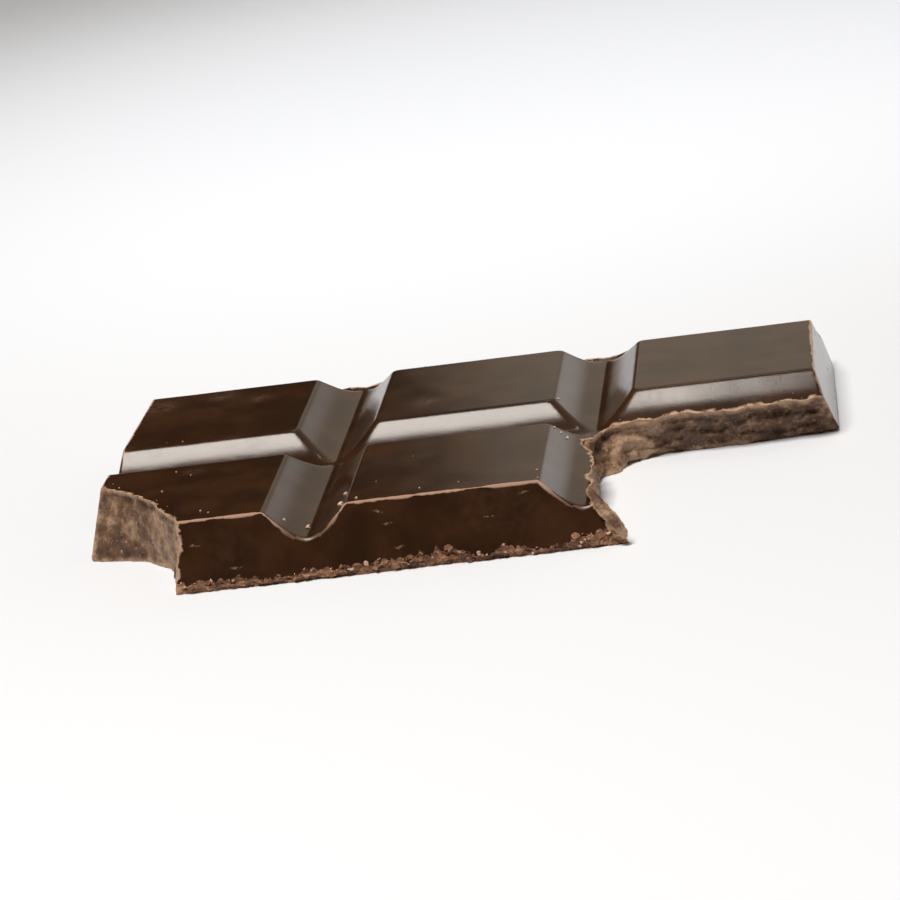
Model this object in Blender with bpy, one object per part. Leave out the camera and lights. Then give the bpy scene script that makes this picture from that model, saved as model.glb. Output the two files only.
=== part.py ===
"""End of a moulded chocolate bar: two rows of three squares, broken off along the grooves.

One closed solid. X runs across the bar, Y from the bar's moulded end towards the break, Z up.
The bar lies on its flat back. One square and one corner are broken away.
"""

import bmesh
import bpy
import numpy as np
from mathutils import Vector, noise

MM = 0.001

# Moulded shape, in millimetres. The squares are centred on a raster of one pitch both ways.
PITCH = 27.0  # centre to centre of neighbouring squares
COLUMNS = 3
ROWS = 2
THICKNESS = 7.0  # back to the tops of the squares
GROOVE_WIDTH = 8.3  # across the top of a groove
GROOVE_DEPTH = 3.2
GROOVE_FLOOR_BLEND = 1.75  # how softly a groove's walls run into its floor
GROOVE_OVERRUN = 0.9  # how far below the floor the walls would meet
SQUARE_CORNER_BLEND = 1.2  # how softly the mitred corners of the squares turn
TOP_EDGE_BLEND = 0.35  # rounding of the squares' top edges
GROOVE_RIM_BLEND = 1.6  # rounding of a groove's floor where it runs out through the outer wall
OUTER_WALL_RUN = 1.9  # how far the drafted outer wall runs out on its way down to the back
BACK_EDGE_INSET = 0.4  # rounding of the edge round the flat back
BACK_EDGE_HEIGHT = 0.45  # where that rounding starts


SLAB = THICKNESS - GROOVE_DEPTH
DRAFT = THICKNESS / OUTER_WALL_RUN
TOP_HALF = (PITCH - GROOVE_WIDTH) / 2
HALF_WIDTH = (COLUMNS - 1) / 2 * PITCH + TOP_HALF + OUTER_WALL_RUN
NEAR_Y = -(ROWS - 1) * PITCH / 2 - PITCH / 2 + GROOVE_WIDTH / 2 - OUTER_WALL_RUN
BREAK_Y = (ROWS - 1) * PITCH / 2 + PITCH / 2
BLANK_FAR_Y = BREAK_Y + 3.5

# The blank's top is a grid that reaches down the outer walls to this height, with plain rings below.
GRID_FOOT = 2.5
GRID_WALL = (THICKNESS - GRID_FOOT) / DRAFT  # run of the wall within the grid
GRID_HALF = HALF_WIDTH - GRID_FOOT / DRAFT
GRID_NEAR = NEAR_Y + GRID_FOOT / DRAFT
EDGE_LINES = (-1.8, -0.9, -0.3, 0.0, 0.3, 1.4, 2.7, 3.4, GROOVE_WIDTH / 2)  # from a square's edge
WALL_LINES = tuple(share * GRID_WALL for share in (0.0, 0.33, 0.67, 0.9, 1.0, 1.1, 1.27))
LINE_GAP = 0.1  # least distance between the two sets of lines
LEAST_WALL_DEPTH = 0.1  # of the outer wall's top edge, where a groove runs out
WALL_FADE = 2.5  # runs of the wall over which the grid lines fall back into place

# Breaks, in millimetres: each point gives a place on the break seen from above, where the break
# meets the moulded top, and the place below it where the break meets the back.
CORNER_BREAK = [
    ((-40.4, -6.2), (-40.4, -9.3)),
    ((-36.0, -8.6), (-37.4, -10.9)),
    ((-31.4, -13.1), (-32.8, -12.5)),
    ((-28.8, -17.2), (-29.2, -16.0)),
    ((-26.9, -21.0), (-27.8, -19.9)),
    ((-26.2, -23.2), (-27.2, -23.7)),
    ((-26.0, -27.0), (-27.3, -27.0)),
]
SQUARE_BREAK = [
    ((12.2, -27.5), (17.4, -27.5)),
    ((12.2, -24.4), (17.2, -24.4)),
    ((12.9, -21.5), (15.6, -21.5)),
    ((13.3, -18.6), (14.3, -18.6)),
    ((13.2, -15.0), (13.8, -15.0)),
    ((12.9, -11.0), (13.5, -11.0)),
    ((12.4, -6.5), (13.2, -6.5)),
    ((11.9, -2.4), (13.2, -4.2)),
    ((13.6, 0.6), (15.4, -0.8)),
    ((19.2, 0.9), (18.9, 2.8)),
    ((24.2, 0.6), (24.2, 3.5)),
    ((29.7, 0.4), (29.7, 4.0)),
    ((34.7, 0.3), (34.7, 4.1)),
    ((43.0, 0.5), (43.0, 3.6)),
]
FAR_BREAK = [
    ((43.0, 27.2), (43.0, 26.8)),
    ((33.0, 27.7), (33.0, 27.2)),
    ((24.0, 27.3), (24.0, 28.4)),
    ((16.0, 27.9), (16.0, 27.8)),
    ((8.0, 27.8), (8.0, 26.9)),
    ((0.0, 27.0), (0.0, 27.6)),
    ((-9.0, 27.5), (-9.0, 28.3)),
    ((-17.0, 27.8), (-17.0, 27.4)),
    ((-25.0, 27.2), (-25.0, 26.6)),
    ((-34.0, 27.9), (-34.0, 27.3)),
    ((-43.0, 27.4), (-43.0, 28.2)),
]
BREAK_SPACING = 1.15  # between points along a break
BREAK_LEVELS = (-0.8, 0.45, 1.6, 2.8, 3.9, 5.1, 6.3, 7.6)  # heights of the rings of a break
BREAK_MARGIN = 5.0  # how far a cutter reaches past the bar
CORNER_OUTER_X = -26.0  # where the corner's cutter ends in front of the bar
SQUARE_OUTER_X = 14.8  # and the square's
ROUGHNESS = ((7.0, 0.55), (2.6, 0.32))  # wavelength and height of the broken faces' waves

# Torn lower edge of the near wall: place along X and the height torn off there, in millimetres.
TORN_EDGE = [
    (-29.5, 1.0), (-21.9, 0.9), (-15.6, 0.3), (-9.8, 0.9), (-4.0, 1.2), (-0.7, 1.6), (2.7, 0.6),
    (8.3, 0.6), (11.3, 0.9), (15.1, 1.6), (19.5, 1.9),
]
TORN_SPACING = 1.2
TORN_LEAST = 0.1  # lowest height of the tear
TORN_UNEVEN = (1.7, 0.15)  # wavelength and height of its uneven upper edge
TORN_DEPTH_SHARE = 0.7  # depth of the tear as a share of its height
TORN_BEND = ((0.45, 0.75), (0.8, 0.35))  # shares of its depth and height, from the wall inwards
TORN_GAP = 0.02  # keeps the torn surface clear of the wall's own plane
TORN_BELOW = 0.6  # how far the cutter reaches below the back
TORN_OUTSIDE = 1.0  # and in front of the wall


def smooth_min(a, b, blend):
    """Return the lower of two heights, rounded where they cross."""
    share = np.clip(0.5 + 0.5 * (b - a) / blend, 0.0, 1.0)
    return b + (a - b) * share - blend * share * (1.0 - share)


def smooth_max(a, b, blend):
    """Return the higher of two heights, rounded where they cross."""
    return -smooth_min(-a, -b, blend)


def moulded_height(x, y):
    """Return the height of the moulded top at one place, in millimetres."""
    column = np.clip(round(x / PITCH + (COLUMNS - 1) / 2), 0, COLUMNS - 1) - (COLUMNS - 1) / 2
    row = max(round(y / PITCH + (ROWS - 1) / 2), 0) - (ROWS - 1) / 2
    across = abs(x - column * PITCH) - TOP_HALF
    along = abs(y - row * PITCH) - TOP_HALF
    if abs(x) > (COLUMNS - 1) / 2 * PITCH:
        across = -TOP_HALF  # no groove beyond the outer columns
    if y < -(ROWS - 1) / 2 * PITCH:
        along = -TOP_HALF  # and none beyond the first row

    # Distance outside a square with mitred corners, then down the groove's wall and onto its floor.
    outside = smooth_max(across, along, SQUARE_CORNER_BLEND)
    slope = (GROOVE_DEPTH + GROOVE_OVERRUN) / (GROOVE_WIDTH / 2)
    height = smooth_min(THICKNESS, THICKNESS - slope * outside, TOP_EDGE_BLEND)
    height = smooth_max(height, SLAB, GROOVE_FLOOR_BLEND)

    # The drafted outer walls, with a softer rim where a groove runs out.
    rim = np.interp(height, (SLAB, THICKNESS), (GROOVE_RIM_BLEND, TOP_EDGE_BLEND))
    for depth_inside in (HALF_WIDTH - abs(x), y - NEAR_Y):
        height = smooth_min(height, DRAFT * depth_inside, rim)
    return float(height)


def raster_lines(first, last, centres):
    """Return grid positions that are close together at edges and grooves.

    Args:
        first: The grid's first line, in millimetres.
        last: Its last line.
        centres: Centres of the squares between them.
    """
    lines = [c + side * (TOP_HALF + o) for c in centres for side in (-1, 1) for o in EDGE_LINES]
    margin = WALL_LINES[-1] + LINE_GAP
    inner = [v for v in lines if first + margin < v < last - margin]
    ends = [first + s for s in WALL_LINES] + [last - s for s in WALL_LINES]
    return sorted({round(v, 4) for v in inner + ends})


def wall_depth(depth, groove_height):
    """Return a place in the outer wall moved so that the grid follows a groove's way out.

    Args:
        depth: Distance in from the grid's edge, in millimetres.
        groove_height: Height of the moulded top just inside the wall.
    """
    edge = max(LEAST_WALL_DEPTH, (groove_height - GRID_FOOT) / DRAFT)
    if depth < GRID_WALL:
        return depth * edge / GRID_WALL
    fade = max(0.0, 1.0 - (depth - GRID_WALL) / (WALL_FADE * GRID_WALL))
    return depth - (GRID_WALL - edge) * fade


def build_blank(collection):
    """Build the unbroken bar end: moulded top, drafted walls and flat back."""
    xs = raster_lines(-GRID_HALF, GRID_HALF, [-PITCH, 0.0, PITCH])
    ys = raster_lines(GRID_NEAR, BLANK_FAR_Y, [-PITCH / 2, PITCH / 2, 1.5 * PITCH])
    mesh = bmesh.new()
    grid = []
    for y in ys:
        row = []
        for x in xs:
            side_depth = wall_depth(GRID_HALF - abs(x), moulded_height(PITCH, y))
            place_x = np.copysign(GRID_HALF - side_depth, x)
            place_y = GRID_NEAR + wall_depth(y - GRID_NEAR, moulded_height(x, -PITCH / 2))
            row.append(mesh.verts.new((place_x, place_y, moulded_height(place_x, place_y))))
        grid.append(row)
    for j in range(len(ys) - 1):
        for i in range(len(xs) - 1):
            mesh.faces.new((grid[j][i], grid[j][i + 1], grid[j + 1][i + 1], grid[j + 1][i]))

    # Down the rest of the walls, round the lower edge and across the flat back.
    rim = grid[0] + [row[-1] for row in grid[1:]] + grid[-1][-2::-1] + [r[0] for r in grid[-2:0:-1]]
    upper = rim
    halfway = (0.28 * BACK_EDGE_HEIGHT, 0.3 * BACK_EDGE_INSET)
    for height, inset in ((BACK_EDGE_HEIGHT, 0.0), halfway, (0.0, BACK_EDGE_INSET)):
        depth = height / DRAFT + inset
        wider = (HALF_WIDTH - depth) / GRID_HALF
        longer = (BLANK_FAR_Y - NEAR_Y - depth) / (BLANK_FAR_Y - GRID_NEAR)
        ring = []
        for vert in rim:
            y = BLANK_FAR_Y - (BLANK_FAR_Y - vert.co.y) * longer
            ring.append(mesh.verts.new((vert.co.x * wider, y, height)))
        for k, vert in enumerate(upper):
            after = (k + 1) % len(upper)
            mesh.faces.new((vert, ring[k], ring[after], upper[after]))
        upper = ring
    mesh.faces.new(list(reversed(upper)))
    bmesh.ops.remove_doubles(mesh, verts=mesh.verts, dist=1e-4)
    return finish_object("chocolate_bar", mesh, collection)


def smooth_path(points, spacing):
    """Return evenly spaced points on a smooth curve through the given ones."""
    given = [Vector(p) for p in points]
    given = [2 * given[0] - given[1]] + given + [2 * given[-1] - given[-2]]
    fine = []
    for k in range(1, len(given) - 2):
        p0, p1, p2, p3 = given[k - 1:k + 3]
        for t in np.arange(0.0, 1.0, 0.05):
            fine.append(0.5 * (2 * p1 + (p2 - p0) * t + (2 * p0 - 5 * p1 + 4 * p2 - p3) * t ** 2
                               + (3 * p1 - p0 - 3 * p2 + p3) * t ** 3))
    fine.append(given[-2])
    lengths = np.cumsum([0.0] + [(b - a).length for a, b in zip(fine, fine[1:])])
    stations = np.linspace(0.0, lengths[-1], max(2, round(lengths[-1] / spacing)) + 1)
    columns = zip(*[tuple(p) for p in fine])
    return [Vector(p) for p in zip(*[np.interp(stations, lengths, c) for c in columns])]


def break_offset(place):
    """Return how far a broken face stands off its smooth path at one place."""
    return sum(size * noise.noise(place / wave) for wave, size in ROUGHNESS)


def build_break_cutter(name, break_points, outer_corners, collection):
    """Build a closed cutter whose inner side is a rough broken face.

    Args:
        name: Name of the cutter object.
        break_points: Pairs of places on the break, at the top and at the back.
        outer_corners: Places outside the bar that close the cutter's outline.
        collection: Collection that takes the cutter.
    """
    path = smooth_path([(*top, *foot) for top, foot in break_points], BREAK_SPACING)
    mesh = bmesh.new()
    rings = []
    for height in BREAK_LEVELS:
        share = height / THICKNESS
        line = [Vector((p[2] + (p[0] - p[2]) * share, p[3] + (p[1] - p[3]) * share)) for p in path]
        ring = []
        for k, point in enumerate(line):
            along = line[min(k + 1, len(line) - 1)] - line[max(k - 1, 0)]
            normal = Vector((-along.y, along.x)).normalized()
            rough = break_offset(Vector((point.x, point.y, height)))
            ring.append(mesh.verts.new((*(point + normal * rough), height)))
        ring += [mesh.verts.new((*corner, height)) for corner in outer_corners]
        rings.append(ring)
    count = len(rings[0])
    for lower, upper in zip(rings, rings[1:]):
        for k in range(count):
            after = (k + 1) % count
            mesh.faces.new((lower[k], lower[after], upper[after], upper[k]))
    mesh.faces.new(rings[-1])
    mesh.faces.new(list(reversed(rings[0])))
    return finish_cutter(name, mesh, collection)


def build_torn_edge_cutter(collection):
    """Build the cutter that tears the lower edge of the near wall."""
    mesh = bmesh.new()
    rings = []
    for x, height in smooth_path(TORN_EDGE, TORN_SPACING):
        wave, size = TORN_UNEVEN
        height = max(TORN_LEAST, height + size * noise.noise(Vector((x / wave, 0.0, 0.0))))
        depth = BACK_EDGE_INSET + height * TORN_DEPTH_SHARE
        profile = [(NEAR_Y - TORN_OUTSIDE, height), (NEAR_Y + TORN_GAP, height)]
        profile += [(NEAR_Y + inward * depth, up * height) for inward, up in TORN_BEND]
        profile += [(NEAR_Y + depth, -TORN_BELOW), (NEAR_Y - TORN_OUTSIDE, -TORN_BELOW)]
        rings.append([mesh.verts.new((x, y, z)) for y, z in profile])
    count = len(rings[0])
    for before, after in zip(rings, rings[1:]):
        for k in range(count):
            following = (k + 1) % count
            mesh.faces.new((before[k], before[following], after[following], after[k]))
    mesh.faces.new(list(reversed(rings[0])))
    mesh.faces.new(rings[-1])
    return finish_cutter("cutter_torn_edge", mesh, collection)


def finish_object(name, mesh, collection):
    """Turn a millimetre bmesh into an object in metres, with faces outward."""
    bmesh.ops.recalc_face_normals(mesh, faces=mesh.faces)
    bmesh.ops.scale(mesh, vec=(MM, MM, MM), verts=mesh.verts)
    data = bpy.data.meshes.new(name)
    mesh.to_mesh(data)
    mesh.free()
    item = bpy.data.objects.new(name, data)
    collection.objects.link(item)
    return item


def finish_cutter(name, mesh, collection):
    """Make a cutter object that is only a guide for the bar's Boolean modifiers."""
    cutter = finish_object(name, mesh, collection)
    cutter.display_type = "WIRE"
    cutter.hide_render = True
    return cutter


def dark_chocolate():
    """Make the material of the whole piece."""
    material = bpy.data.materials.new("dark_chocolate")
    material.use_nodes = True
    shader = material.node_tree.nodes["Principled BSDF"]
    shader.inputs["Base Color"].default_value = (0.036, 0.015, 0.0085, 1.0)
    shader.inputs["Roughness"].default_value = 0.32
    shader.inputs["Metallic"].default_value = 0.0
    return material


def main():
    """Build the broken bar end, centred over the origin and standing on it."""
    for item in list(bpy.data.objects):
        bpy.data.objects.remove(item)
    collection = bpy.context.scene.collection

    side = HALF_WIDTH + BREAK_MARGIN
    near = NEAR_Y - BREAK_MARGIN
    far = BLANK_FAR_Y + BREAK_MARGIN
    before_corner = [(CORNER_OUTER_X, near), (-side, near)]
    before_square = [(side, near), (SQUARE_OUTER_X, near)]
    bar = build_blank(collection)
    bar.data.materials.append(dark_chocolate())
    cutters = [
        build_break_cutter("cutter_corner", CORNER_BREAK, before_corner, collection),
        build_break_cutter("cutter_square", SQUARE_BREAK, before_square, collection),
        build_break_cutter("cutter_far", FAR_BREAK, [(-side, far), (side, far)], collection),
        build_torn_edge_cutter(collection),
    ]
    frame = bpy.data.objects.new("bar_frame", None)
    collection.objects.link(frame)
    for item in [bar, *cutters]:
        item.parent = frame
    for cutter in cutters:
        cut = bar.modifiers.new(cutter.name, "BOOLEAN")
        cut.operation = "DIFFERENCE"
        cut.solver = "EXACT"
        cut.object = cutter

    # Centre the finished piece over the origin.
    bpy.context.view_layer.update()
    box = [Vector(c) for c in bar.evaluated_get(bpy.context.evaluated_depsgraph_get()).bound_box]
    frame.location = (-(box[0].x + box[6].x) / 2, -(box[0].y + box[6].y) / 2, -box[0].z)


main()
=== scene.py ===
"""Broken end of a moulded dark chocolate bar, lying on its flat back on a pale studio floor.

The bar is cast by a node tree that holds the mould's shape, then snapped by rough break surfaces, so
that each broken face keeps its own grain. Flakes, a curled sliver and crumbs are made beside it.
Shapes are modelled in millimetres on the mould's own axes: X across the bar, Y from the moulded end
towards the break, Z up. Finished meshes are moved to the frame and scaled to metres.
"""

import logging
import math
from dataclasses import dataclass
from enum import Enum
from functools import partial
from typing import Any, Iterable, Sequence

import bmesh
import bpy
import numpy as np
from mathutils import Matrix, Vector, noise
from mathutils.bvhtree import BVHTree
from mathutils.kdtree import KDTree


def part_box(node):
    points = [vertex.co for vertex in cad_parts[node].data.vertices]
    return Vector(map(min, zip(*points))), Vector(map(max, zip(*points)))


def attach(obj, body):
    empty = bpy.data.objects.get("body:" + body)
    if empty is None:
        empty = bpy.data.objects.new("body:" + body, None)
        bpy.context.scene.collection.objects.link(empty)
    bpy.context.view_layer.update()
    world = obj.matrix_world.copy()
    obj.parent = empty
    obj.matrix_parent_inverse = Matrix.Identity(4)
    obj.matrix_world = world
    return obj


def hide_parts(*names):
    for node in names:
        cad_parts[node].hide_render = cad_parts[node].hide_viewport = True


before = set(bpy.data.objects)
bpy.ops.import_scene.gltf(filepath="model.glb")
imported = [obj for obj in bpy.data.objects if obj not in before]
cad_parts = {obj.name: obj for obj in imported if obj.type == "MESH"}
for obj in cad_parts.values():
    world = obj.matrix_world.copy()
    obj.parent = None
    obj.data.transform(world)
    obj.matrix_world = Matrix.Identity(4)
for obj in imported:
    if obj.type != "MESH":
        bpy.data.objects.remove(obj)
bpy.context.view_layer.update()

LOG = logging.getLogger("chocolate_bar")
NODE = "chocolate_bar"
BODY = "root"
MM = 0.001  # metres in a millimetre
PER_METRE = 1000.0  # turns 1 / millimetres into 1 / metres, for pattern scales

Pair = tuple[float, float]
Triple = tuple[float, float, float]
Socket = bpy.types.NodeSocket


# Crumbs that lie by themselves: across, along and radius, in millimetres.
CRUMBS = (
    (-15.9, -21.1, 0.18), (-13.8, -20.4, 0.3), (-9.9, -18.7, 0.27), (-10.2, -20.8, 0.33), (-8.4, -21.9, 0.17),
    (9.1, -19.6, 0.13), (9.3, -22.0, 0.1), (-2.3, -21.0, 0.11), (1.5, -20.6, 0.09), (-24.1, -20.2, 0.13),
    (-23.2, -21.0, 0.1), (-29.3, -12.3, 0.13), (-28.9, -6.0, 0.1), (-27.1, -7.8, 0.09), (9.9, -4.5, 0.17),
    (11.1, -5.0, 0.22), (10.5, -4.7, 0.15), (9.8, 5.3, 0.18), (-30.0, 4.7, 0.11),
)


class Surface(Enum):
    """The finishes of the bar, in the order of its material slots."""

    MOULDED = 0
    SNAPPED = 1
    TORN = 2
    SCRAPED = 3


def linear(hex_colour: str) -> tuple[float, float, float, float]:
    """Turn an sRGB hex colour into linear light.

    Args:
        hex_colour: Colour such as "#3a2318".

    Returns:
        Linear red, green, blue and an alpha of one.
    """
    parts = [int(hex_colour[i:i + 2], 16) / 255 for i in (1, 3, 5)]
    light = [c / 12.92 if c <= 0.04045 else ((c + 0.055) / 1.055) ** 2.4 for c in parts]
    return light[0], light[1], light[2], 1.0


def add_node(tree: bpy.types.NodeTree, kind: str, inputs: Any = (), **settings: Any) -> bpy.types.Node:
    """Add a node with its settings, and link or set its inputs.

    Args:
        tree: Node tree that takes the node.
        kind: The node's type.
        inputs: Values in socket order, or by socket name. A node stands for its first output, a
            socket is linked, None leaves the socket alone, and anything else is its value.
        **settings: The node's own properties.

    Returns:
        The new node.
    """
    node = tree.nodes.new(kind)
    for name, value in settings.items():
        setattr(node, name, value)
    pairs = inputs.items() if isinstance(inputs, dict) else enumerate(inputs)
    for key, value in pairs:
        source = value.outputs[0] if isinstance(value, bpy.types.Node) else value
        if isinstance(source, Socket):
            tree.links.new(source, node.inputs[key])
        elif source is not None:
            node.inputs[key].default_value = source
    return node


def mesh_object(name: str, data: bpy.types.Mesh) -> bpy.types.Object:
    """Put a mesh into the scene as an object at the origin."""
    item = bpy.data.objects.new(name, data)
    bpy.context.scene.collection.objects.link(item)
    return item


def run_tree(name: str, tree: bpy.types.NodeTree, sizes: dict[str, Any],
             base: bpy.types.Mesh | None = None) -> bpy.types.Mesh:
    """Evaluate a geometry node tree with its named inputs and keep the result as a plain mesh.

    Args:
        name: Name of the mesh.
        tree: Tree with a Geometry output.
        sizes: Values of the tree's inputs by name.
        base: Mesh that the tree starts from, if it needs one.

    Returns:
        The evaluated mesh.
    """
    carrier = mesh_object(f"{name}_tree", base or bpy.data.meshes.new(f"{name}_base"))
    modifier = carrier.modifiers.new("tree", "NODES")
    modifier.node_group = tree
    for item in tree.interface.items_tree:
        if item.in_out == "INPUT" and item.name in sizes:
            modifier[item.identifier] = sizes[item.name]
    evaluated = carrier.evaluated_get(bpy.context.evaluated_depsgraph_get())
    data = bpy.data.meshes.new_from_object(evaluated)
    data.name = name
    bpy.data.objects.remove(carrier)
    return data


def new_tree(name: str, inputs: dict[str, str]) -> tuple[bpy.types.NodeTree, dict[str, Socket]]:
    """Start a geometry node tree with named inputs and a Geometry output.

    Args:
        name: Name of the tree.
        inputs: Socket types by input name.

    Returns:
        The tree, and the sockets that carry its inputs, by name.
    """
    tree = bpy.data.node_groups.new(name, "GeometryNodeTree")
    for label, kind in inputs.items():
        tree.interface.new_socket(label, in_out="INPUT", socket_type=kind)
    tree.interface.new_socket("Geometry", in_out="OUTPUT", socket_type="NodeSocketGeometry")
    source = add_node(tree, "NodeGroupInput")
    return tree, {socket.name: socket for socket in source.outputs if socket.name}


@dataclass(frozen=True)
class Mould:
    """The cavity that shapes the bar: squares on a raster, V grooves and drafted outer walls.

    Attributes:
        half_width: Half the bar's width at the level of the back, as if its lower edge were sharp.
        near_y: The moulded end wall's foot there.
        thickness: Back to the tops of the squares.
        columns: Squares across the bar.
        rows: Squares from the moulded end to the break.
        groove_width: Across the top of a groove.
        groove_depth: Tops of the squares down to a groove's floor.
        groove_floor: How softly a groove's walls run into its floor.
        overrun: How far below the floor those walls would meet.
        floor_line: How soft the crease in the middle of a groove's floor is.
        corner: How softly the mitred corners of the squares turn.
        groove_rim: How softly a groove's floor turns down into the outer wall.
        top_edge: How softly the squares' top edges turn.
        wall_run: How far the drafted outer wall runs out on its way down to the back.
        grid_foot: Height down to which the grid makes the outer walls. Rings make the rest.
        back_radius: Rounding of the lower edge.
        spare: How far the blank runs on past the break.
        spacing: Average distance between grid lines.
        ripple: Height and length of the cooled surface's faint waves.
    """

    half_width: float
    near_y: float
    thickness: float
    columns: int = 3
    rows: int = 2
    groove_width: float = 8.3
    groove_depth: float = 3.2
    groove_floor: float = 2.6
    overrun: float = 0.9
    floor_line: float = 0.6
    corner: float = 1.1
    groove_rim: float = 2.4
    top_edge: float = 0.32
    wall_run: float = 1.9
    grid_foot: float = 2.5
    back_radius: float = 0.45
    spare: float = 3.5
    spacing: float = 0.27
    ripple: Pair = (0.024, 7.0)

    # Share of the grid lines, and share of half a pitch that they reach, from a square's centre.
    RASTER = ((0.0, 0.0), (0.26, 0.59), (0.34, 0.665), (0.52, 0.727), (1.0, 1.0))

    @classmethod
    def in_box(cls, low: Vector, high: Vector) -> "Mould":
        """Make the mould for a bar of a given box.

        Args:
            low: Lowest corner, in metres.
            high: Highest corner, in metres.

        Returns:
            A mould with its squares spread over the box's width.
        """
        thickness = (high.z - low.z) / MM
        half_width = (high.x - low.x) / 2 / MM + cls.back_radius * cls.wall_run / thickness
        pitch = (2 * (half_width - cls.wall_run) + cls.groove_width) / cls.columns
        near_y = -cls.rows / 2 * pitch + cls.groove_width / 2 - cls.wall_run
        return cls(half_width, near_y, thickness)

    @property
    def pitch(self) -> float:
        """Centre to centre of neighbouring squares."""
        return (2 * (self.half_width - self.wall_run) + self.groove_width) / self.columns

    @property
    def square_half(self) -> float:
        """Half the width of a square's top."""
        return (self.pitch - self.groove_width) / 2

    @property
    def slab(self) -> float:
        """Height of the grooves' floors."""
        return self.thickness - self.groove_depth

    @property
    def break_y(self) -> float:
        """Middle of the groove that the bar's far end broke along."""
        return self.rows / 2 * self.pitch

    @property
    def draft(self) -> float:
        """Steepness of the outer wall."""
        return self.thickness / self.wall_run

    def grid_place(self, place: float, first: float) -> float:
        """Undo the raster's crowding of grid lines.

        Args:
            place: A place along one axis.
            first: Centre of the first square on that axis.

        Returns:
            The place on the even grid that the raster moves there.
        """
        half = self.pitch / 2
        centre = first + round((place - first) / self.pitch) * self.pitch
        shares, reaches = zip(*self.RASTER)
        even = float(np.interp(abs(place - centre) / half, reaches, shares))
        return centre + math.copysign(even * half, place - centre)

    def height_rule(self, tree: bpy.types.NodeTree, size: dict[str, Socket], x: Socket,
                    y: Socket) -> tuple[bpy.types.Node, bpy.types.Node]:
        """Add the nodes that give the moulded top's height at one place.

        Args:
            tree: Tree that takes the nodes.
            size: The tree's named sizes.
            x: Place across the bar.
            y: Place along it.

        Returns:
            The height without the outer walls, and with them.
        """
        calc = partial(add_node, tree, "ShaderNodeMath")
        wide = calc([x], operation="ABSOLUTE")
        across = calc([wide, size["Outer Column"]], operation="MINIMUM")
        across = calc([across, size["Half Pitch"]], operation="PINGPONG")
        along = calc([y, size["First Row"]], operation="SUBTRACT")
        along = calc([calc([along, 0.0], operation="MAXIMUM"), size["Half Pitch"]], operation="PINGPONG")

        # Distance outside the square. Its corners are mitred and a little round.
        a = calc([across, size["Square Half"]], operation="SUBTRACT")
        b = calc([along, size["Square Half"]], operation="SUBTRACT")
        outside = calc([a, b, size["Corner"]], operation="SMOOTH_MAX")
        centre_gap = calc([size["Half Groove"], outside], operation="SUBTRACT")
        soft = calc([size["Floor Line"], 2.0], operation="POWER")
        centre_gap = calc([calc([centre_gap, centre_gap, soft], operation="MULTIPLY_ADD")], operation="SQRT")
        outside = calc([size["Half Groove"], centre_gap], operation="SUBTRACT")

        # Down the groove's wall and onto its floor.
        wall = calc([outside, size["Groove Fall"], size["Thickness"]], operation="MULTIPLY_ADD")
        top = calc([size["Thickness"], wall, size["Top Edge"]], operation="SMOOTH_MIN")
        inner = calc([top, size["Slab"], size["Groove Floor"]], operation="SMOOTH_MAX")

        # The drafted walls at the sides and at the near end, with softer rims where a groove runs out.
        rim = add_node(tree, "ShaderNodeMapRange", {
            0: inner, "From Min": size["Slab"], "From Max": size["Thickness"],
            "To Min": size["Groove Rim"], "To Max": size["Top Edge"]})
        height = inner
        for inside in (calc([size["Half Width"], wide], operation="SUBTRACT"),
                       calc([y, size["Near Y"]], operation="SUBTRACT")):
            outer = calc([inside, size["Draft"], size["Foot"]], operation="MULTIPLY_ADD")
            height = calc([height, outer, rim], operation="SMOOTH_MIN")
        return inner, height

    def raster_rule(self, tree: bpy.types.NodeTree, size: dict[str, Socket], place: Socket,
                    first: Socket) -> bpy.types.Node:
        """Add the nodes that crowd grid lines at the squares' edges and in the grooves.

        Args:
            tree: Tree that takes the nodes.
            size: The tree's named sizes.
            place: Place on the even grid, along one axis.
            first: Centre of a square on that axis.

        Returns:
            The node that holds the new place.
        """
        calc = partial(add_node, tree, "ShaderNodeMath")
        pitch = calc([size["Half Pitch"], 2.0], operation="MULTIPLY")
        local = calc([place, first], operation="SUBTRACT")
        cell = calc([calc([local, pitch], operation="DIVIDE")], operation="ROUND")
        centre = calc([cell, pitch, first], operation="MULTIPLY_ADD")
        offset = calc([place, centre], operation="SUBTRACT")
        share = calc([calc([offset], operation="ABSOLUTE"), size["Half Pitch"]], operation="DIVIDE")
        crowd = add_node(tree, "ShaderNodeFloatCurve", [1.0, share])
        points = crowd.mapping.curves[0].points
        for k, (even, crowded) in enumerate(self.RASTER):
            point = points[k] if k < 1 else points.new(even, crowded) if k < len(self.RASTER) - 1 else None
            if point:
                point.handle_type = "VECTOR"
        crowd.mapping.update()
        reach = calc([crowd, size["Half Pitch"]], operation="MULTIPLY")
        turned = calc([offset], operation="SIGN")
        return calc([reach, turned, centre], operation="MULTIPLY_ADD")

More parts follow.
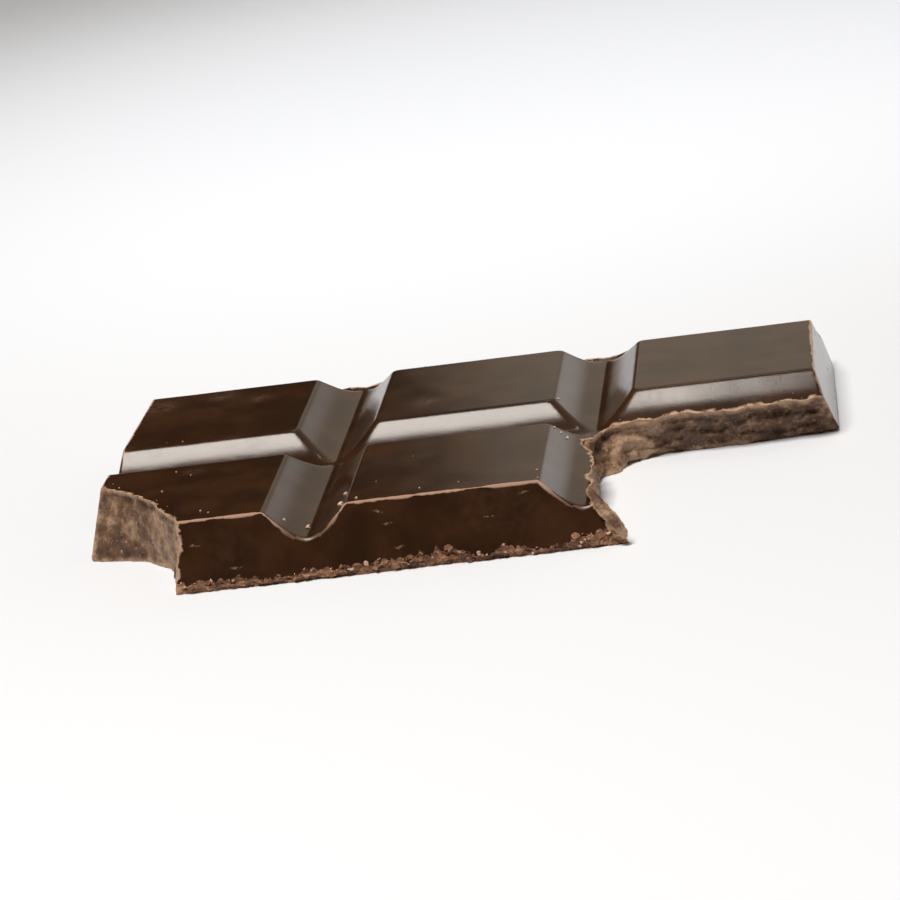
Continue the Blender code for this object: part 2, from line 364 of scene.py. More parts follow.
    def wall_rule(self, tree: bpy.types.NodeTree, size: dict[str, Socket], depth: Socket,
                  height: Socket) -> bpy.types.Node:
        """Add the nodes that let grid lines in the outer wall follow a groove's way out.

        Args:
            tree: Tree that takes the nodes.
            size: The tree's named sizes.
            depth: Distance in from the grid's edge.
            height: Height of the moulded top just inside the wall.

        Returns:
            The node that holds the new depth.
        """
        calc = partial(add_node, tree, "ShaderNodeMath")
        least = 0.1
        fade_runs = 2.5
        rise = calc([height, size["Foot"]], operation="SUBTRACT")
        edge = calc([calc([rise, size["Draft"]], operation="DIVIDE"), least], operation="MAXIMUM")
        runs = calc([depth, size["Wall Run"]], operation="DIVIDE")
        fade = calc([runs, -1.0 / fade_runs, 1.0 + 1.0 / fade_runs], operation="MULTIPLY_ADD")
        weight = calc([calc([runs, fade], operation="MINIMUM"), 0.0], operation="MAXIMUM")
        excess = calc([edge, size["Wall Run"]], operation="SUBTRACT")
        return calc([excess, weight, depth], operation="MULTIPLY_ADD")

    def tree(self, material: bpy.types.Material) -> bpy.types.NodeTree:
        """Build the tree that casts the blank, a bar end with nothing broken off.

        Args:
            material: Finish of the cast surface.

        Returns:
            The tree.
        """
        names = ("Half Width", "Near Y", "Far Y", "Thickness", "Slab", "Foot", "Half Pitch", "Outer Column",
                 "First Row", "Square Half", "Corner", "Groove Fall", "Groove Floor", "Groove Rim",
                 "Half Groove", "Floor Line", "Top Edge", "Wall Run", "Draft", "Back Radius", "Grid X",
                 "Grid Near", "Grid Far", "Ripple", "Ripple Length")
        kinds = {name: "NodeSocketFloat" for name in names}
        kinds |= {"Lines X": "NodeSocketInt", "Lines Y": "NodeSocketInt"}
        tree, size = new_tree("moulded_bar_end", kinds)
        calc = partial(add_node, tree, "ShaderNodeMath")
        place = partial(add_node, tree, "GeometryNodeSetPosition")

        # An even grid, crowded towards edges and grooves.
        length = calc([size["Grid Far"], size["Grid Near"]], operation="SUBTRACT")
        grid = add_node(tree, "GeometryNodeMeshGrid", {
            "Size X": calc([size["Grid X"], 2.0], operation="MULTIPLY"), "Size Y": length,
            "Vertices X": size["Lines X"], "Vertices Y": size["Lines Y"]})
        middle = calc([calc([size["Grid Far"], size["Grid Near"]]), 0.5], operation="MULTIPLY")
        here = add_node(tree, "GeometryNodeInputPosition")
        even = add_node(tree, "ShaderNodeSeparateXYZ", [here])
        even_y = calc([even.outputs["Y"], middle])
        x = self.raster_rule(tree, size, even.outputs["X"], add_node(tree, "ShaderNodeValue").outputs[0])
        y = self.raster_rule(tree, size, even_y.outputs[0], size["First Row"])

        # Lines in the outer walls follow the grooves, then everything takes its height.
        beside = self.height_rule(tree, size, size["Outer Column"], y.outputs[0])[0]
        in_front = self.height_rule(tree, size, x.outputs[0], size["First Row"])[0]
        wide = calc([x], operation="ABSOLUTE")
        depth_x = calc([size["Half Width"], wide], operation="SUBTRACT")
        depth_x = self.wall_rule(tree, size, depth_x.outputs[0], beside.outputs[0])
        new_x = calc([calc([size["Half Width"], depth_x], operation="SUBTRACT"),
                      calc([x], operation="SIGN")], operation="MULTIPLY")
        depth_y = calc([y, size["Near Y"]], operation="SUBTRACT")
        depth_y = self.wall_rule(tree, size, depth_y.outputs[0], in_front.outputs[0])
        new_y = calc([size["Near Y"], depth_y])
        height = self.height_rule(tree, size, new_x.outputs[0], new_y.outputs[0])[1]
        shape = place([grid, None, add_node(tree, "ShaderNodeCombineXYZ", [new_x, new_y, height])])

        # Down the rest of the walls and round the lower edge, each ring a little wider than the grid.
        sides = add_node(tree, "GeometryNodeInputMeshEdgeNeighbors")
        rim = add_node(tree, "FunctionNodeCompare", {2: sides, 3: 1}, data_type="INT", operation="EQUAL")
        edge_set = rim.outputs[0]
        reach, length = size["Half Width"], calc([size["Far Y"], size["Near Y"]], operation="SUBTRACT")
        first_reach, first_length = reach, length
        for share, angle in self.side_rings():
            grown = add_node(tree, "GeometryNodeExtrudeMesh", {"Mesh": shape, "Selection": edge_set,
                                                              "Offset Scale": 0.0}, mode="EDGES")
            inset = calc([size["Back Radius"], 1.0 - math.cos(angle)], operation="MULTIPLY")
            level = calc([size["Back Radius"], 1.0 - math.sin(angle)], operation="MULTIPLY")
            drop = calc([size["Foot"], level], operation="SUBTRACT")
            level = calc([drop, share, level], operation="MULTIPLY_ADD")
            fall = calc([size["Foot"], level], operation="SUBTRACT")
            out = calc([calc([fall, size["Draft"]], operation="DIVIDE"), inset], operation="SUBTRACT")
            new_reach, new_length = calc([first_reach, out]), calc([first_length, out])
            at = add_node(tree, "ShaderNodeSeparateXYZ", [here])
            ring_x = calc([at.outputs["X"], calc([new_reach, reach], operation="DIVIDE")],
                          operation="MULTIPLY")
            back = calc([at.outputs["Y"], size["Far Y"]], operation="SUBTRACT")
            ring_y = calc([back, calc([new_length, length], operation="DIVIDE"), size["Far Y"]],
                          operation="MULTIPLY_ADD")
            ring = add_node(tree, "ShaderNodeCombineXYZ", [ring_x, ring_y, level])
            shape = place([grown.outputs["Mesh"], grown.outputs["Top"], ring])
            edge_set = grown.outputs["Top"]
            reach, length = new_reach, new_length

        # The flat back closes the body.
        outline = add_node(tree, "GeometryNodeMeshToCurve", [shape, edge_set])
        back = add_node(tree, "GeometryNodeFillCurve", [outline], mode="NGONS")
        body = add_node(tree, "GeometryNodeJoinGeometry")
        for part in (shape, back):
            tree.links.new(part.outputs[0], body.inputs[0])
        body = add_node(tree, "GeometryNodeMergeByDistance", {"Geometry": body, "Distance": 0.0005})

        # The faint waves of a cooled surface.
        at = add_node(tree, "ShaderNodeSeparateXYZ", [here])
        wave = add_node(tree, "ShaderNodeTexNoise", {
            "Vector": here, "Scale": calc([1.0, size["Ripple Length"]], operation="DIVIDE"),
            "Detail": 1.0}, normalize=False)
        swell = calc([wave, size["Ripple"]], operation="MULTIPLY")
        lift = add_node(tree, "ShaderNodeVectorMath", {0: add_node(tree, "GeometryNodeInputNormal"),
                                                       "Scale": swell}, operation="SCALE")
        above = add_node(tree, "FunctionNodeCompare", [at.outputs["Z"], 0.01], data_type="FLOAT",
                         operation="GREATER_THAN")
        body = place([body, above, None, lift])

        solid = add_node(tree, "GeometryNodeRealizeInstances", [body])
        solid = add_node(tree, "GeometryNodeSetMaterial", {"Geometry": solid, "Material": material})
        add_node(tree, "NodeGroupOutput", [solid])
        return tree

    def side_rings(self) -> Iterable[Pair]:
        """Yield the rings below the grid, from the top down.

        Returns:
            For each ring its share of the straight wall still below it, and its angle round the
            lower edge.
        """
        for k in range(6, -1, -1):
            yield k / 7, 0.0
        for k in range(1, 6):
            yield 0.0, k / 5 * math.pi / 2

    def cast(self, material: bpy.types.Material) -> bpy.types.Mesh:
        """Cast the blank.

        Args:
            material: Finish of the cast surface.

        Returns:
            A closed mesh in millimetres.
        """
        far_y = self.break_y + self.spare
        outer_column = (self.columns - 1) / 2 * self.pitch
        first_row = -(self.rows - 1) / 2 * self.pitch
        foot_run = self.grid_foot / self.draft
        half_width, near_y = self.half_width - foot_run, self.near_y + foot_run
        grid_x = self.grid_place(half_width, outer_column)
        grid_near = self.grid_place(near_y, first_row)
        grid_far = self.grid_place(far_y, first_row)
        sizes = {
            "Half Width": half_width, "Near Y": near_y, "Far Y": far_y, "Thickness": self.thickness,
            "Slab": self.slab, "Foot": self.grid_foot, "Half Pitch": self.pitch / 2,
            "Outer Column": outer_column, "First Row": first_row, "Square Half": self.square_half,
            "Corner": self.corner, "Groove Rim": self.groove_rim,
            "Groove Fall": -(self.groove_depth + self.overrun) / (self.groove_width / 2),
            "Groove Floor": self.groove_floor, "Top Edge": self.top_edge,
            "Half Groove": self.groove_width / 2, "Floor Line": self.floor_line,
            "Wall Run": self.wall_run - foot_run, "Draft": self.draft, "Back Radius": self.back_radius,
            "Grid X": grid_x, "Grid Near": grid_near, "Grid Far": grid_far,
            "Ripple": self.ripple[0], "Ripple Length": self.ripple[1],
            "Lines X": round(2 * grid_x / self.spacing),
            "Lines Y": round((grid_far - grid_near) / self.spacing),
        }
        return run_tree("blank", self.tree(material), sizes)


def smooth_path(places: Sequence[Sequence[float]], spacing: float) -> list[Vector]:
    """Follow a smooth curve through given places.

    Args:
        places: The places, in any number of dimensions.
        spacing: Distance between neighbouring points of the result.

    Returns:
        Evenly spaced points.
    """
    given = [Vector(p) for p in places]
    given = [2 * given[0] - given[1]] + given + [2 * given[-1] - given[-2]]
    fine = []
    for k in range(1, len(given) - 2):
        p0, p1, p2, p3 = given[k - 1:k + 3]
        for t in np.arange(0.0, 1.0, 0.02):
            fine.append(0.5 * (2 * p1 + (p2 - p0) * t + (2 * p0 - 5 * p1 + 4 * p2 - p3) * t ** 2
                               + (3 * p1 - p0 - 3 * p2 + p3) * t ** 3))
    fine.append(given[-2])
    lengths = np.cumsum([0.0] + [(b - a).length for a, b in zip(fine, fine[1:])])
    stations = np.linspace(0.0, lengths[-1], max(2, round(lengths[-1] / spacing)) + 1)
    columns = zip(*[tuple(p) for p in fine])
    return [Vector(p) for p in zip(*[np.interp(stations, lengths, c) for c in columns])]


def ramp(value: float, start: float, end: float) -> float:
    """Return 0 before start and 1 past end, with a soft run between them."""
    share = min(1.0, max(0.0, (value - start) / (end - start)))
    return share * share * (3 - 2 * share)


def close_tube(mesh: bmesh.types.BMesh, rings: list[list[bmesh.types.BMVert]]) -> None:
    """Join closed rings of equal length into one closed body.

    Args:
        mesh: Mesh that holds the rings.
        rings: The rings, from one end to the other.
    """
    count = len(rings[0])
    for before, after in zip(rings, rings[1:]):
        for k in range(count):
            following = (k + 1) % count
            mesh.faces.new((before[k], before[following], after[following], after[k]))
    mesh.faces.new(list(reversed(rings[0])))
    mesh.faces.new(rings[-1])
    bmesh.ops.recalc_face_normals(mesh, faces=mesh.faces)


@dataclass(frozen=True)
class Fracture:
    """A rough break right through the bar.

    Attributes:
        name: Name of the break.
        places: Places along it, each at the moulded top and at the back.
        outside: Corners outside the bar that close the broken-off side.
        top: Height that the break surface has to reach.
        spacing: Distance between points on the break.
        lip: How far the skin of the moulded top stands over the break.
        rough: Strength of the face's waves and grains.
        ledge: Depth of the layers that the snap ran along.
    """

    name: str
    places: tuple[tuple[Pair, Pair], ...]
    outside: tuple[Pair, Pair]
    top: float
    spacing: float = 0.16
    lip: float = 0.3
    rough: float = 1.0
    ledge: float = 0.2

    # Wavelengths and heights of the broken face's waves. The first two shape the solid as well.
    WAVES = ((7.0, 0.5), (2.6, 0.3), (1.3, 0.2), (0.6, 0.13))
    LEDGES = (2.4, 1.0)  # length and thickness of the layers
    GRAIN = (0.42, 0.18)  # size of the crumbly grains, and how far they stand out
    CALM = 0.35  # share of the finer relief that is left at the skin
    BELOW = 0.4  # how far the broken-off body reaches below the back
    ABOVE = 0.6  # and above the tops of the squares

    def relief(self, place: Vector, below: float) -> float:
        """Work out how deep the break lies behind its smooth path.

        Args:
            place: A place on the smooth path.
            below: How far that place lies below the moulded top.

        Returns:
            The depth, in millimetres.
        """
        waves = [height * noise.noise(place / wave) for wave, height in self.WAVES]
        length, thick = self.LEDGES
        layer = noise.noise(Vector((place.x / length, place.y / length, place.z / thick)))
        size, stand = self.GRAIN
        grain = stand * (noise.voronoi(place / size)[0][0] - 0.45)
        skin = 1.0 - ramp(below, 0.15, 0.5)
        fine = self.rough * (sum(waves[2:]) + grain) + self.ledge * math.tanh(4.0 * layer)
        fine *= 1.0 - (1.0 - self.CALM) * skin
        along = Vector((place.x, place.y, 0.0))
        lip = self.lip * (0.7 + noise.noise(along / 1.9) + 0.25 * noise.noise(along / 0.6))
        hollow = ramp(below, 0.3, 0.7) * (1.0 - ramp(below, 0.8, 1.7))
        chip = max(0.0, noise.noise(along / 1.3 + Vector((7.0, 0.0, 3.0))) - 0.25)
        return (self.rough * sum(waves[:2]) + fine + lip * (hollow - skin)
                + 0.5 * chip * (1.0 - ramp(below, 0.0, 0.9)))

    def cutter(self, blank: BVHTree, thickness: float, material: bpy.types.Material) -> bpy.types.Object:
        """Build the body of what broke off, whose inner side is the broken face.

        Args:
            blank: The unbroken bar, for the height of its moulded top.
            thickness: The bar's thickness.
            material: Finish of the broken face.

        Returns:
            The body, in millimetres.
        """
        path = smooth_path([(*top, *foot) for top, foot in self.places], self.spacing)
        mesh = bmesh.new()
        rings = []
        heights = np.linspace(-self.BELOW, self.top, round((self.top + self.BELOW) / self.spacing))
        for height in [*heights, thickness + self.ABOVE]:
            share = min(height, self.top) / thickness
            line = [Vector((p[2] + (p[0] - p[2]) * share, p[3] + (p[1] - p[3]) * share)) for p in path]
            ring = []
            for k, point in enumerate(line):
                along = line[min(k + 1, len(line) - 1)] - line[max(k - 1, 0)]
                inward = Vector((-along.y, along.x)).normalized()
                hit = blank.ray_cast(Vector((path[k][0], path[k][1], 2 * thickness)), Vector((0, 0, -1)))
                surface = hit[0].z if hit[0] else self.top
                depth = self.relief(Vector((point.x, point.y, height)), surface - height)
                ring.append(mesh.verts.new((*(point + inward * depth), height)))
            ring += [mesh.verts.new((*corner, height)) for corner in self.outside]
            rings.append(ring)
        close_tube(mesh, rings)
        data = bpy.data.meshes.new(self.name)
        mesh.to_mesh(data)
        mesh.free()
        data.materials.append(material)
        return mesh_object(self.name, data)


@dataclass(frozen=True)
class TornEdge:
    """The lower edge of the moulded end, where a layered film of spilt chocolate was torn off.

    Attributes:
        near_y: Foot of the moulded end wall.
        lean: How far that wall leans in for each millimetre of height.
        heights: Place across the bar, and how high the tear reaches there.
        layers: Number of layers that tore, each along its own ragged line.
        bite: How far the tear goes in behind the wall, at its top and at the back.
        spacing: Distance between points along the tear.
    """

    near_y: float
    lean: float
    heights: tuple[Pair, ...] = (
        (-27.5, 1.2), (-26.5, 1.3), (-21.9, 1.2), (-18.5, 1.0), (-15.6, 0.7), (-14.1, 1.2), (-9.8, 1.1),
        (-6.8, 1.3), (-4.0, 1.4), (-2.0, 1.4), (-0.7, 2.0), (1.2, 1.3), (2.7, 0.7), (5.0, 1.2), (7.1, 1.1),
        (8.3, 0.7), (11.3, 1.1), (15.1, 1.9), (18.5, 2.4),
    )
    layers: int = 5
    bite: Pair = (0.06, 0.75)
    spacing: float = 0.1

    RAGGED = ((1.7, 0.2), (0.7, 0.25), (0.3, 0.12))  # wavelength and share of the upper edge's waves
    FRAYED = ((2.4, 0.3), (0.9, 0.28), (0.35, 0.16), (0.17, 0.06))  # the same for each layer's line
    WOBBLE = (0.8, 0.7)  # wavelength, and share of its thickness, of a layer's unevenness
    UNDER = 0.6  # how far the torn-off body reaches below the back
    OUTSIDE = 1.0  # and in front of the wall

    def cutter(self, material: bpy.types.Material) -> bpy.types.Object:
        """Build the body that was torn off.

        Args:
            material: Finish of the torn face.

        Returns:
            The body, in millimetres.
        """
        mesh = bmesh.new()
        rings = []
        outside = self.near_y - self.OUTSIDE
        length, uneven = self.WOBBLE
        for x, height in smooth_path(self.heights, self.spacing):
            height *= 1.0 + sum(size * noise.noise(Vector((x / wave, 3.1, 0.0))) for wave, size in self.RAGGED)
            thick = (height + self.UNDER / 2) / self.layers
            levels = [height - thick * (j + uneven * noise.noise(Vector((x / length, 5.3 * j, 1.0))))
                      for j in range(self.layers + 1)]
            ring = [mesh.verts.new((x, outside, levels[0] + 0.1))]
            for j, (upper, lower) in enumerate(zip(levels, levels[1:])):
                share = j / (self.layers - 1)
                bite = self.bite[0] + (self.bite[1] - self.bite[0]) * share
                bite += sum(size * noise.noise(Vector((x / wave, 7.3 * j, 0.0))) for wave, size in self.FRAYED)
                y = max(self.near_y + self.lean * (upper + lower) / 2 + bite, outside + 0.1)
                ring += [mesh.verts.new((x, y, upper)), mesh.verts.new((x, y, lower))]
            ring += [mesh.verts.new((x, y, -self.UNDER)), mesh.verts.new((x, outside, -self.UNDER))]
            rings.append(ring)
        close_tube(mesh, rings)
        data = bpy.data.meshes.new("torn_film")
        mesh.to_mesh(data)
        mesh.free()
        data.materials.append(material)
        return mesh_object("torn_film", data)


@dataclass(frozen=True)
class Sliver:
    """A thin curl of chocolate that hangs from the break beside the moulded end.

    Attributes:
        spine: Places along its middle, from the break down to its tip.
        half_width: Half its width where it is widest.
        half_thick: Half its thickness.
        facing: Way that its broad side faces.
    """

    spine: tuple[Triple, ...] = (
        (13.9, -20.4, 4.8), (14.35, -22.2, 4.8), (15.05, -23.6, 4.1), (16.0, -24.5, 2.95), (16.75, -24.8, 1.8),
        (17.1, -24.8, 0.8))
    half_width: float = 0.62
    half_thick: float = 0.22
    facing: Triple = (0.25, -0.9, 0.45)

    AROUND = 32  # points round its section
    ROUGH = ((1.1, 0.16), (0.5, 0.1), (0.22, 0.07))  # wavelength and height of its waves

    def build(self, material: bpy.types.Material) -> bpy.types.Object:
        """Build the curl.

        Args:
            material: Its finish.

        Returns:
            The curl, in millimetres.
        """
        path = smooth_path(self.spine, 0.07)
        facing = Vector(self.facing).normalized()
        mesh = bmesh.new()
        rings, pallor_and_painted_light = [], []
        for k, point in enumerate(path):
            share = k / (len(path) - 1)
            ahead = (path[min(k + 1, len(path) - 1)] - path[max(k - 1, 0)]).normalized()
            across = ahead.cross(facing).normalized()
            out = across.cross(ahead)
            round_end = math.sqrt(max(0.02, 1.0 - abs(2.0 * share - 1.0) ** 5))
            width = self.half_width * round_end * (0.72 + 0.28 * ramp(share, 0.1, 0.5))
            ring = []
            for j in range(self.AROUND):
                angle = j / self.AROUND * math.tau
                side, up = math.cos(angle) * width, math.sin(angle) * self.half_thick * round_end
                curl = 0.45 * side * side / self.half_width
                place = point + across * side + out * (up - curl)
                rough = sum(size * noise.noise(place / wave) for wave, size in self.ROUGH)
                ring.append(mesh.verts.new(place + out * rough + across * rough * math.cos(angle)))
                pallor_and_painted_light.append(max(2.0 * abs(math.cos(angle)) ** 6, 2.0 * ramp(share, 0.8, 1.0)))
            rings.append(ring)
        close_tube(mesh, rings)
        data = bpy.data.meshes.new("chocolate_sliver")
        mesh.to_mesh(data)
        mesh.free()
        data.attributes.new("pallor_and_painted_light", "FLOAT", "POINT").data.foreach_set("value", pallor_and_painted_light)
        data.attributes.new("break_gap", "FLOAT", "POINT").data.foreach_set("value", [1.0] * len(pallor_and_painted_light))
        data.materials.append(material)
        data.shade_smooth()
        return mesh_object("chocolate_sliver", data)


@dataclass(frozen=True)
class ScrapedBack:
    """The faint streaks that the scraper leaves on the open side of the mould.

    Attributes:
        half_width: Half the bar's width.
        near_y: The moulded end.
        far_y: A place past the far break.
        spacing: Distance between grid lines.
        depth: Depth of the streaks.
    """

    half_width: float
    near_y: float
    far_y: float
    spacing: float = 1.0
    depth: float = 0.03

    def cutter(self, material: bpy.types.Material) -> bpy.types.Object:
        """Build the body that the scraper took off.

        Args:
            material: Finish of the scraped back.

        Returns:
            The body, in millimetres.
        """
        margin = 1.5
        mesh = bmesh.new()
        xs = np.arange(-self.half_width - margin, self.half_width + 2 * margin, self.spacing)
        ys = np.arange(self.near_y - margin, self.far_y + 2 * margin, self.spacing)
        floor = -2.0
        rows = []
        for y in ys:
            row = []
            for x in xs:
                streak = noise.noise(Vector((x / 25.0, y / 2.2, 0.0))) + noise.noise(Vector((x / 9, y / 7, 4)))
                row.append(mesh.verts.new((x, y, max(0.004, self.depth * (0.7 + streak)))))
            rows.append(row)
        for near, far in zip(rows, rows[1:]):
            for k in range(len(xs) - 1):
                mesh.faces.new((near[k], near[k + 1], far[k + 1], far[k]))
        rim = rows[0] + [r[-1] for r in rows[1:]] + rows[-1][-2::-1] + [r[0] for r in rows[-2:0:-1]]
        ring = [mesh.verts.new((v.co.x, v.co.y, floor)) for v in rim]
        for k, vert in enumerate(rim):
            after = (k + 1) % len(rim)
            mesh.faces.new((vert, ring[k], ring[after], rim[after]))
        mesh.faces.new(list(reversed(ring)))
        bmesh.ops.recalc_face_normals(mesh, faces=mesh.faces)
        data = bpy.data.meshes.new("scraped_off")
        mesh.to_mesh(data)
        mesh.free()
        data.materials.append(material)
        return mesh_object("scraped_off", data)


class Finish:
    """A procedural material, made once and then handed to each piece that wears it."""

    name = "finish"

    def shader(self, tree: bpy.types.NodeTree) -> bpy.types.Node:
        """Add the surface's nodes and return the shader that ends them."""
        raise NotImplementedError

    def material(self) -> bpy.types.Material:
        """Make the material.

        Returns:
            The material, with its shader linked to the output.
        """
        made = bpy.data.materials.new(self.name)
        made.use_nodes = True
        made.node_tree.nodes.clear()
        add_node(made.node_tree, "ShaderNodeOutputMaterial", [self.shader(made.node_tree)])
        return made


@dataclass(frozen=True)
class MouldedDarkChocolate(Finish):
    """Tempered dark chocolate that set against a polished mould.

    The polished cavity leaves an even satin gloss with soft reflections, a little duller where the
    bar was handled. A pale, pinkish line is painted along the rim: partly cocoa abraded at the corners,
    partly a painted highlight of the rounded edge. Small scuffs catch the light.
    """

    name: str = "moulded_tempered_dark_chocolate"
    body: str = "#2d1c11"
    warm: str = "#3c2616"
    haze: str = "#4c3427"
    # Pale rim line: partly abraded cocoa, partly a painted highlight of the rounded edge
    worn_and_highlight: str = "#b89480"
    chipped: str = "#b8967a"
    scuffed: str = "#8a6c58"
    ior: float = 1.46  # cocoa butter and fine sugar
    polish: float = 0.36  # fat bloom too thin to see takes some of the skin's reflection
    roughness: float = 0.16
    dull_roughness: float = 0.55
    worn_and_highlight_width: float = 0.14  # half width of the pale rim line, partly abrasion and partly painted highlight, in millimetres
    chip_width: float = 0.22
    scuff_cell: float = 1.8  # height of the cells that hold a scuff each, in millimetres
    scuff_stretch: float = 0.22

    def shader(self, tree: bpy.types.NodeTree) -> bpy.types.Node:
        """Add the satin body, its haze, the abraded edges with their painted highlight, and the scuffs.

        Args:
            tree: The material's node tree.

        Returns:
            The shader.
        """
        calc = partial(add_node, tree, "ShaderNodeMath")
        place = add_node(tree, "ShaderNodeTexCoord").outputs["Object"]

        def pattern(size: float, detail: float, low: float, high: float,
                    rough: float = 0.5) -> bpy.types.Node:
            """Add soft patches of one size, from 0 to 1 between two levels of the noise."""
            soft = add_node(tree, "ShaderNodeTexNoise", {
                "Vector": place, "Scale": PER_METRE / size, "Detail": detail, "Roughness": rough})
            return add_node(tree, "ShaderNodeMapRange", {0: soft, "From Min": low, "From Max": high},
                            interpolation_type="SMOOTHSTEP")

        def near(attribute: str, width: float, wobble: bpy.types.Node) -> bpy.types.Node:
            """Add a line of uneven width along the edge that an attribute measures from."""
            gap = add_node(tree, "ShaderNodeAttribute", attribute_name=attribute)
            reach = calc([wobble, width * 1.3, width * 0.3], operation="MULTIPLY_ADD")
            share = calc([gap.outputs["Fac"], reach], operation="DIVIDE")
            return add_node(tree, "ShaderNodeMapRange", {0: share, "From Min": 1.5, "From Max": 0.6},
                            interpolation_type="SMOOTHSTEP")

        def mix(factor: Any, a: Any, b: Any) -> bpy.types.Node:
            """Mix two colours."""
            made = add_node(tree, "ShaderNodeMix", {0: factor, 6: a, 7: b}, data_type="RGBA")
            return made

        mottle = pattern(5.0, 3.0, 0.35, 0.7)
        colour = mix(mottle, linear(self.body), linear(self.warm)).outputs[2]
        haze = calc([pattern(9.0, 2.0, 0.45, 0.8), pattern(0.8, 4.0, 0.3, 0.75)], operation="MULTIPLY")
        smudge = calc([add_node(tree, "ShaderNodeAttribute", attribute_name="smudge").outputs["Fac"],
                       pattern(0.9, 3.0, 0.2, 0.7)], operation="MULTIPLY")
        haze = calc([haze, 0.35, smudge], operation="MULTIPLY_ADD")
        colour = mix(haze, colour, linear(self.haze)).outputs[2]

        # The pale rim line, partly abrasion and partly a painted highlight, is painted strongest high on the
        # rim and fades where a groove runs out through the rim.
        level = add_node(tree, "ShaderNodeSeparateXYZ", [place]).outputs["Z"]
        strength = add_node(tree, "ShaderNodeMapRange", {
            0: level, "From Min": 4.5 * MM, "From Max": 6.5 * MM, "To Min": 0.22, "To Max": 0.9})
        rubbed_and_highlight = near("rim_gap", self.worn_and_highlight_width, pattern(1.6, 3.0, 0.3, 0.65))
        rubbed_and_highlight = calc([rubbed_and_highlight, strength], operation="MULTIPLY")
        colour = mix(rubbed_and_highlight, colour, linear(self.worn_and_highlight)).outputs[2]
        chips = near("break_gap", self.chip_width, pattern(1.1, 3.0, 0.35, 0.65))
        chips = calc([chips, pattern(0.7, 3.0, 0.2, 0.55)], operation="MULTIPLY")
        colour = mix(chips, colour, linear(self.chipped)).outputs[2]

        # Short scuffs along the outer walls, each in its own cell, and about half of the cells empty.
        along = add_node(tree, "ShaderNodeVectorMath", {0: place, 1: (self.scuff_stretch, 0.2, 0.06)},
                         operation="DOT_PRODUCT")
        stray = add_node(tree, "ShaderNodeTexNoise", {"Vector": place, "Scale": PER_METRE / 1.1, "Detail": 2.0})
        stray = calc([stray, 0.9 * MM, level], operation="MULTIPLY_ADD")
        spread = add_node(tree, "ShaderNodeCombineXYZ", [along.outputs["Value"], stray])
        cells = add_node(tree, "ShaderNodeTexVoronoi", {
            "Vector": spread, "Scale": PER_METRE / self.scuff_cell}, voronoi_dimensions="2D")
        mark = add_node(tree, "ShaderNodeMapRange", {
            0: cells, "From Min": 0.09, "From Max": 0.02}, interpolation_type="SMOOTHSTEP")
        chance = add_node(tree, "ShaderNodeMath", [cells.outputs["Color"], 0.45], operation="GREATER_THAN")
        upright = add_node(tree, "ShaderNodeAttribute", attribute_name="upright").outputs["Fac"]
        scuff = calc([calc([mark, chance], operation="MULTIPLY"), upright], operation="MULTIPLY")
        scuff = calc([scuff, pattern(0.35, 3.0, 0.35, 0.6)], operation="MULTIPLY")
        colour = mix(calc([scuff, 0.7], operation="MULTIPLY"), colour, linear(self.scuffed)).outputs[2]

        dull = calc([calc([haze, 0.5], operation="MULTIPLY"), calc([rubbed_and_highlight, chips], operation="MAXIMUM")],
                    operation="MAXIMUM")
        dull = calc([dull, scuff], operation="MAXIMUM")
        roughness = add_node(tree, "ShaderNodeMapRange", {
            0: dull, "To Min": self.roughness, "To Max": self.dull_roughness})
        fine = add_node(tree, "ShaderNodeTexNoise", {
            "Vector": place, "Scale": PER_METRE / 0.35, "Detail": 4.0, "Roughness": 0.6})
        bump = add_node(tree, "ShaderNodeBump", {"Strength": 0.15, "Distance": 0.00003, "Height": fine})
        return add_node(tree, "ShaderNodeBsdfPrincipled", {
            "Base Color": colour, "Roughness": roughness, "IOR": self.ior,
            "Specular IOR Level": self.polish, "Normal": bump})


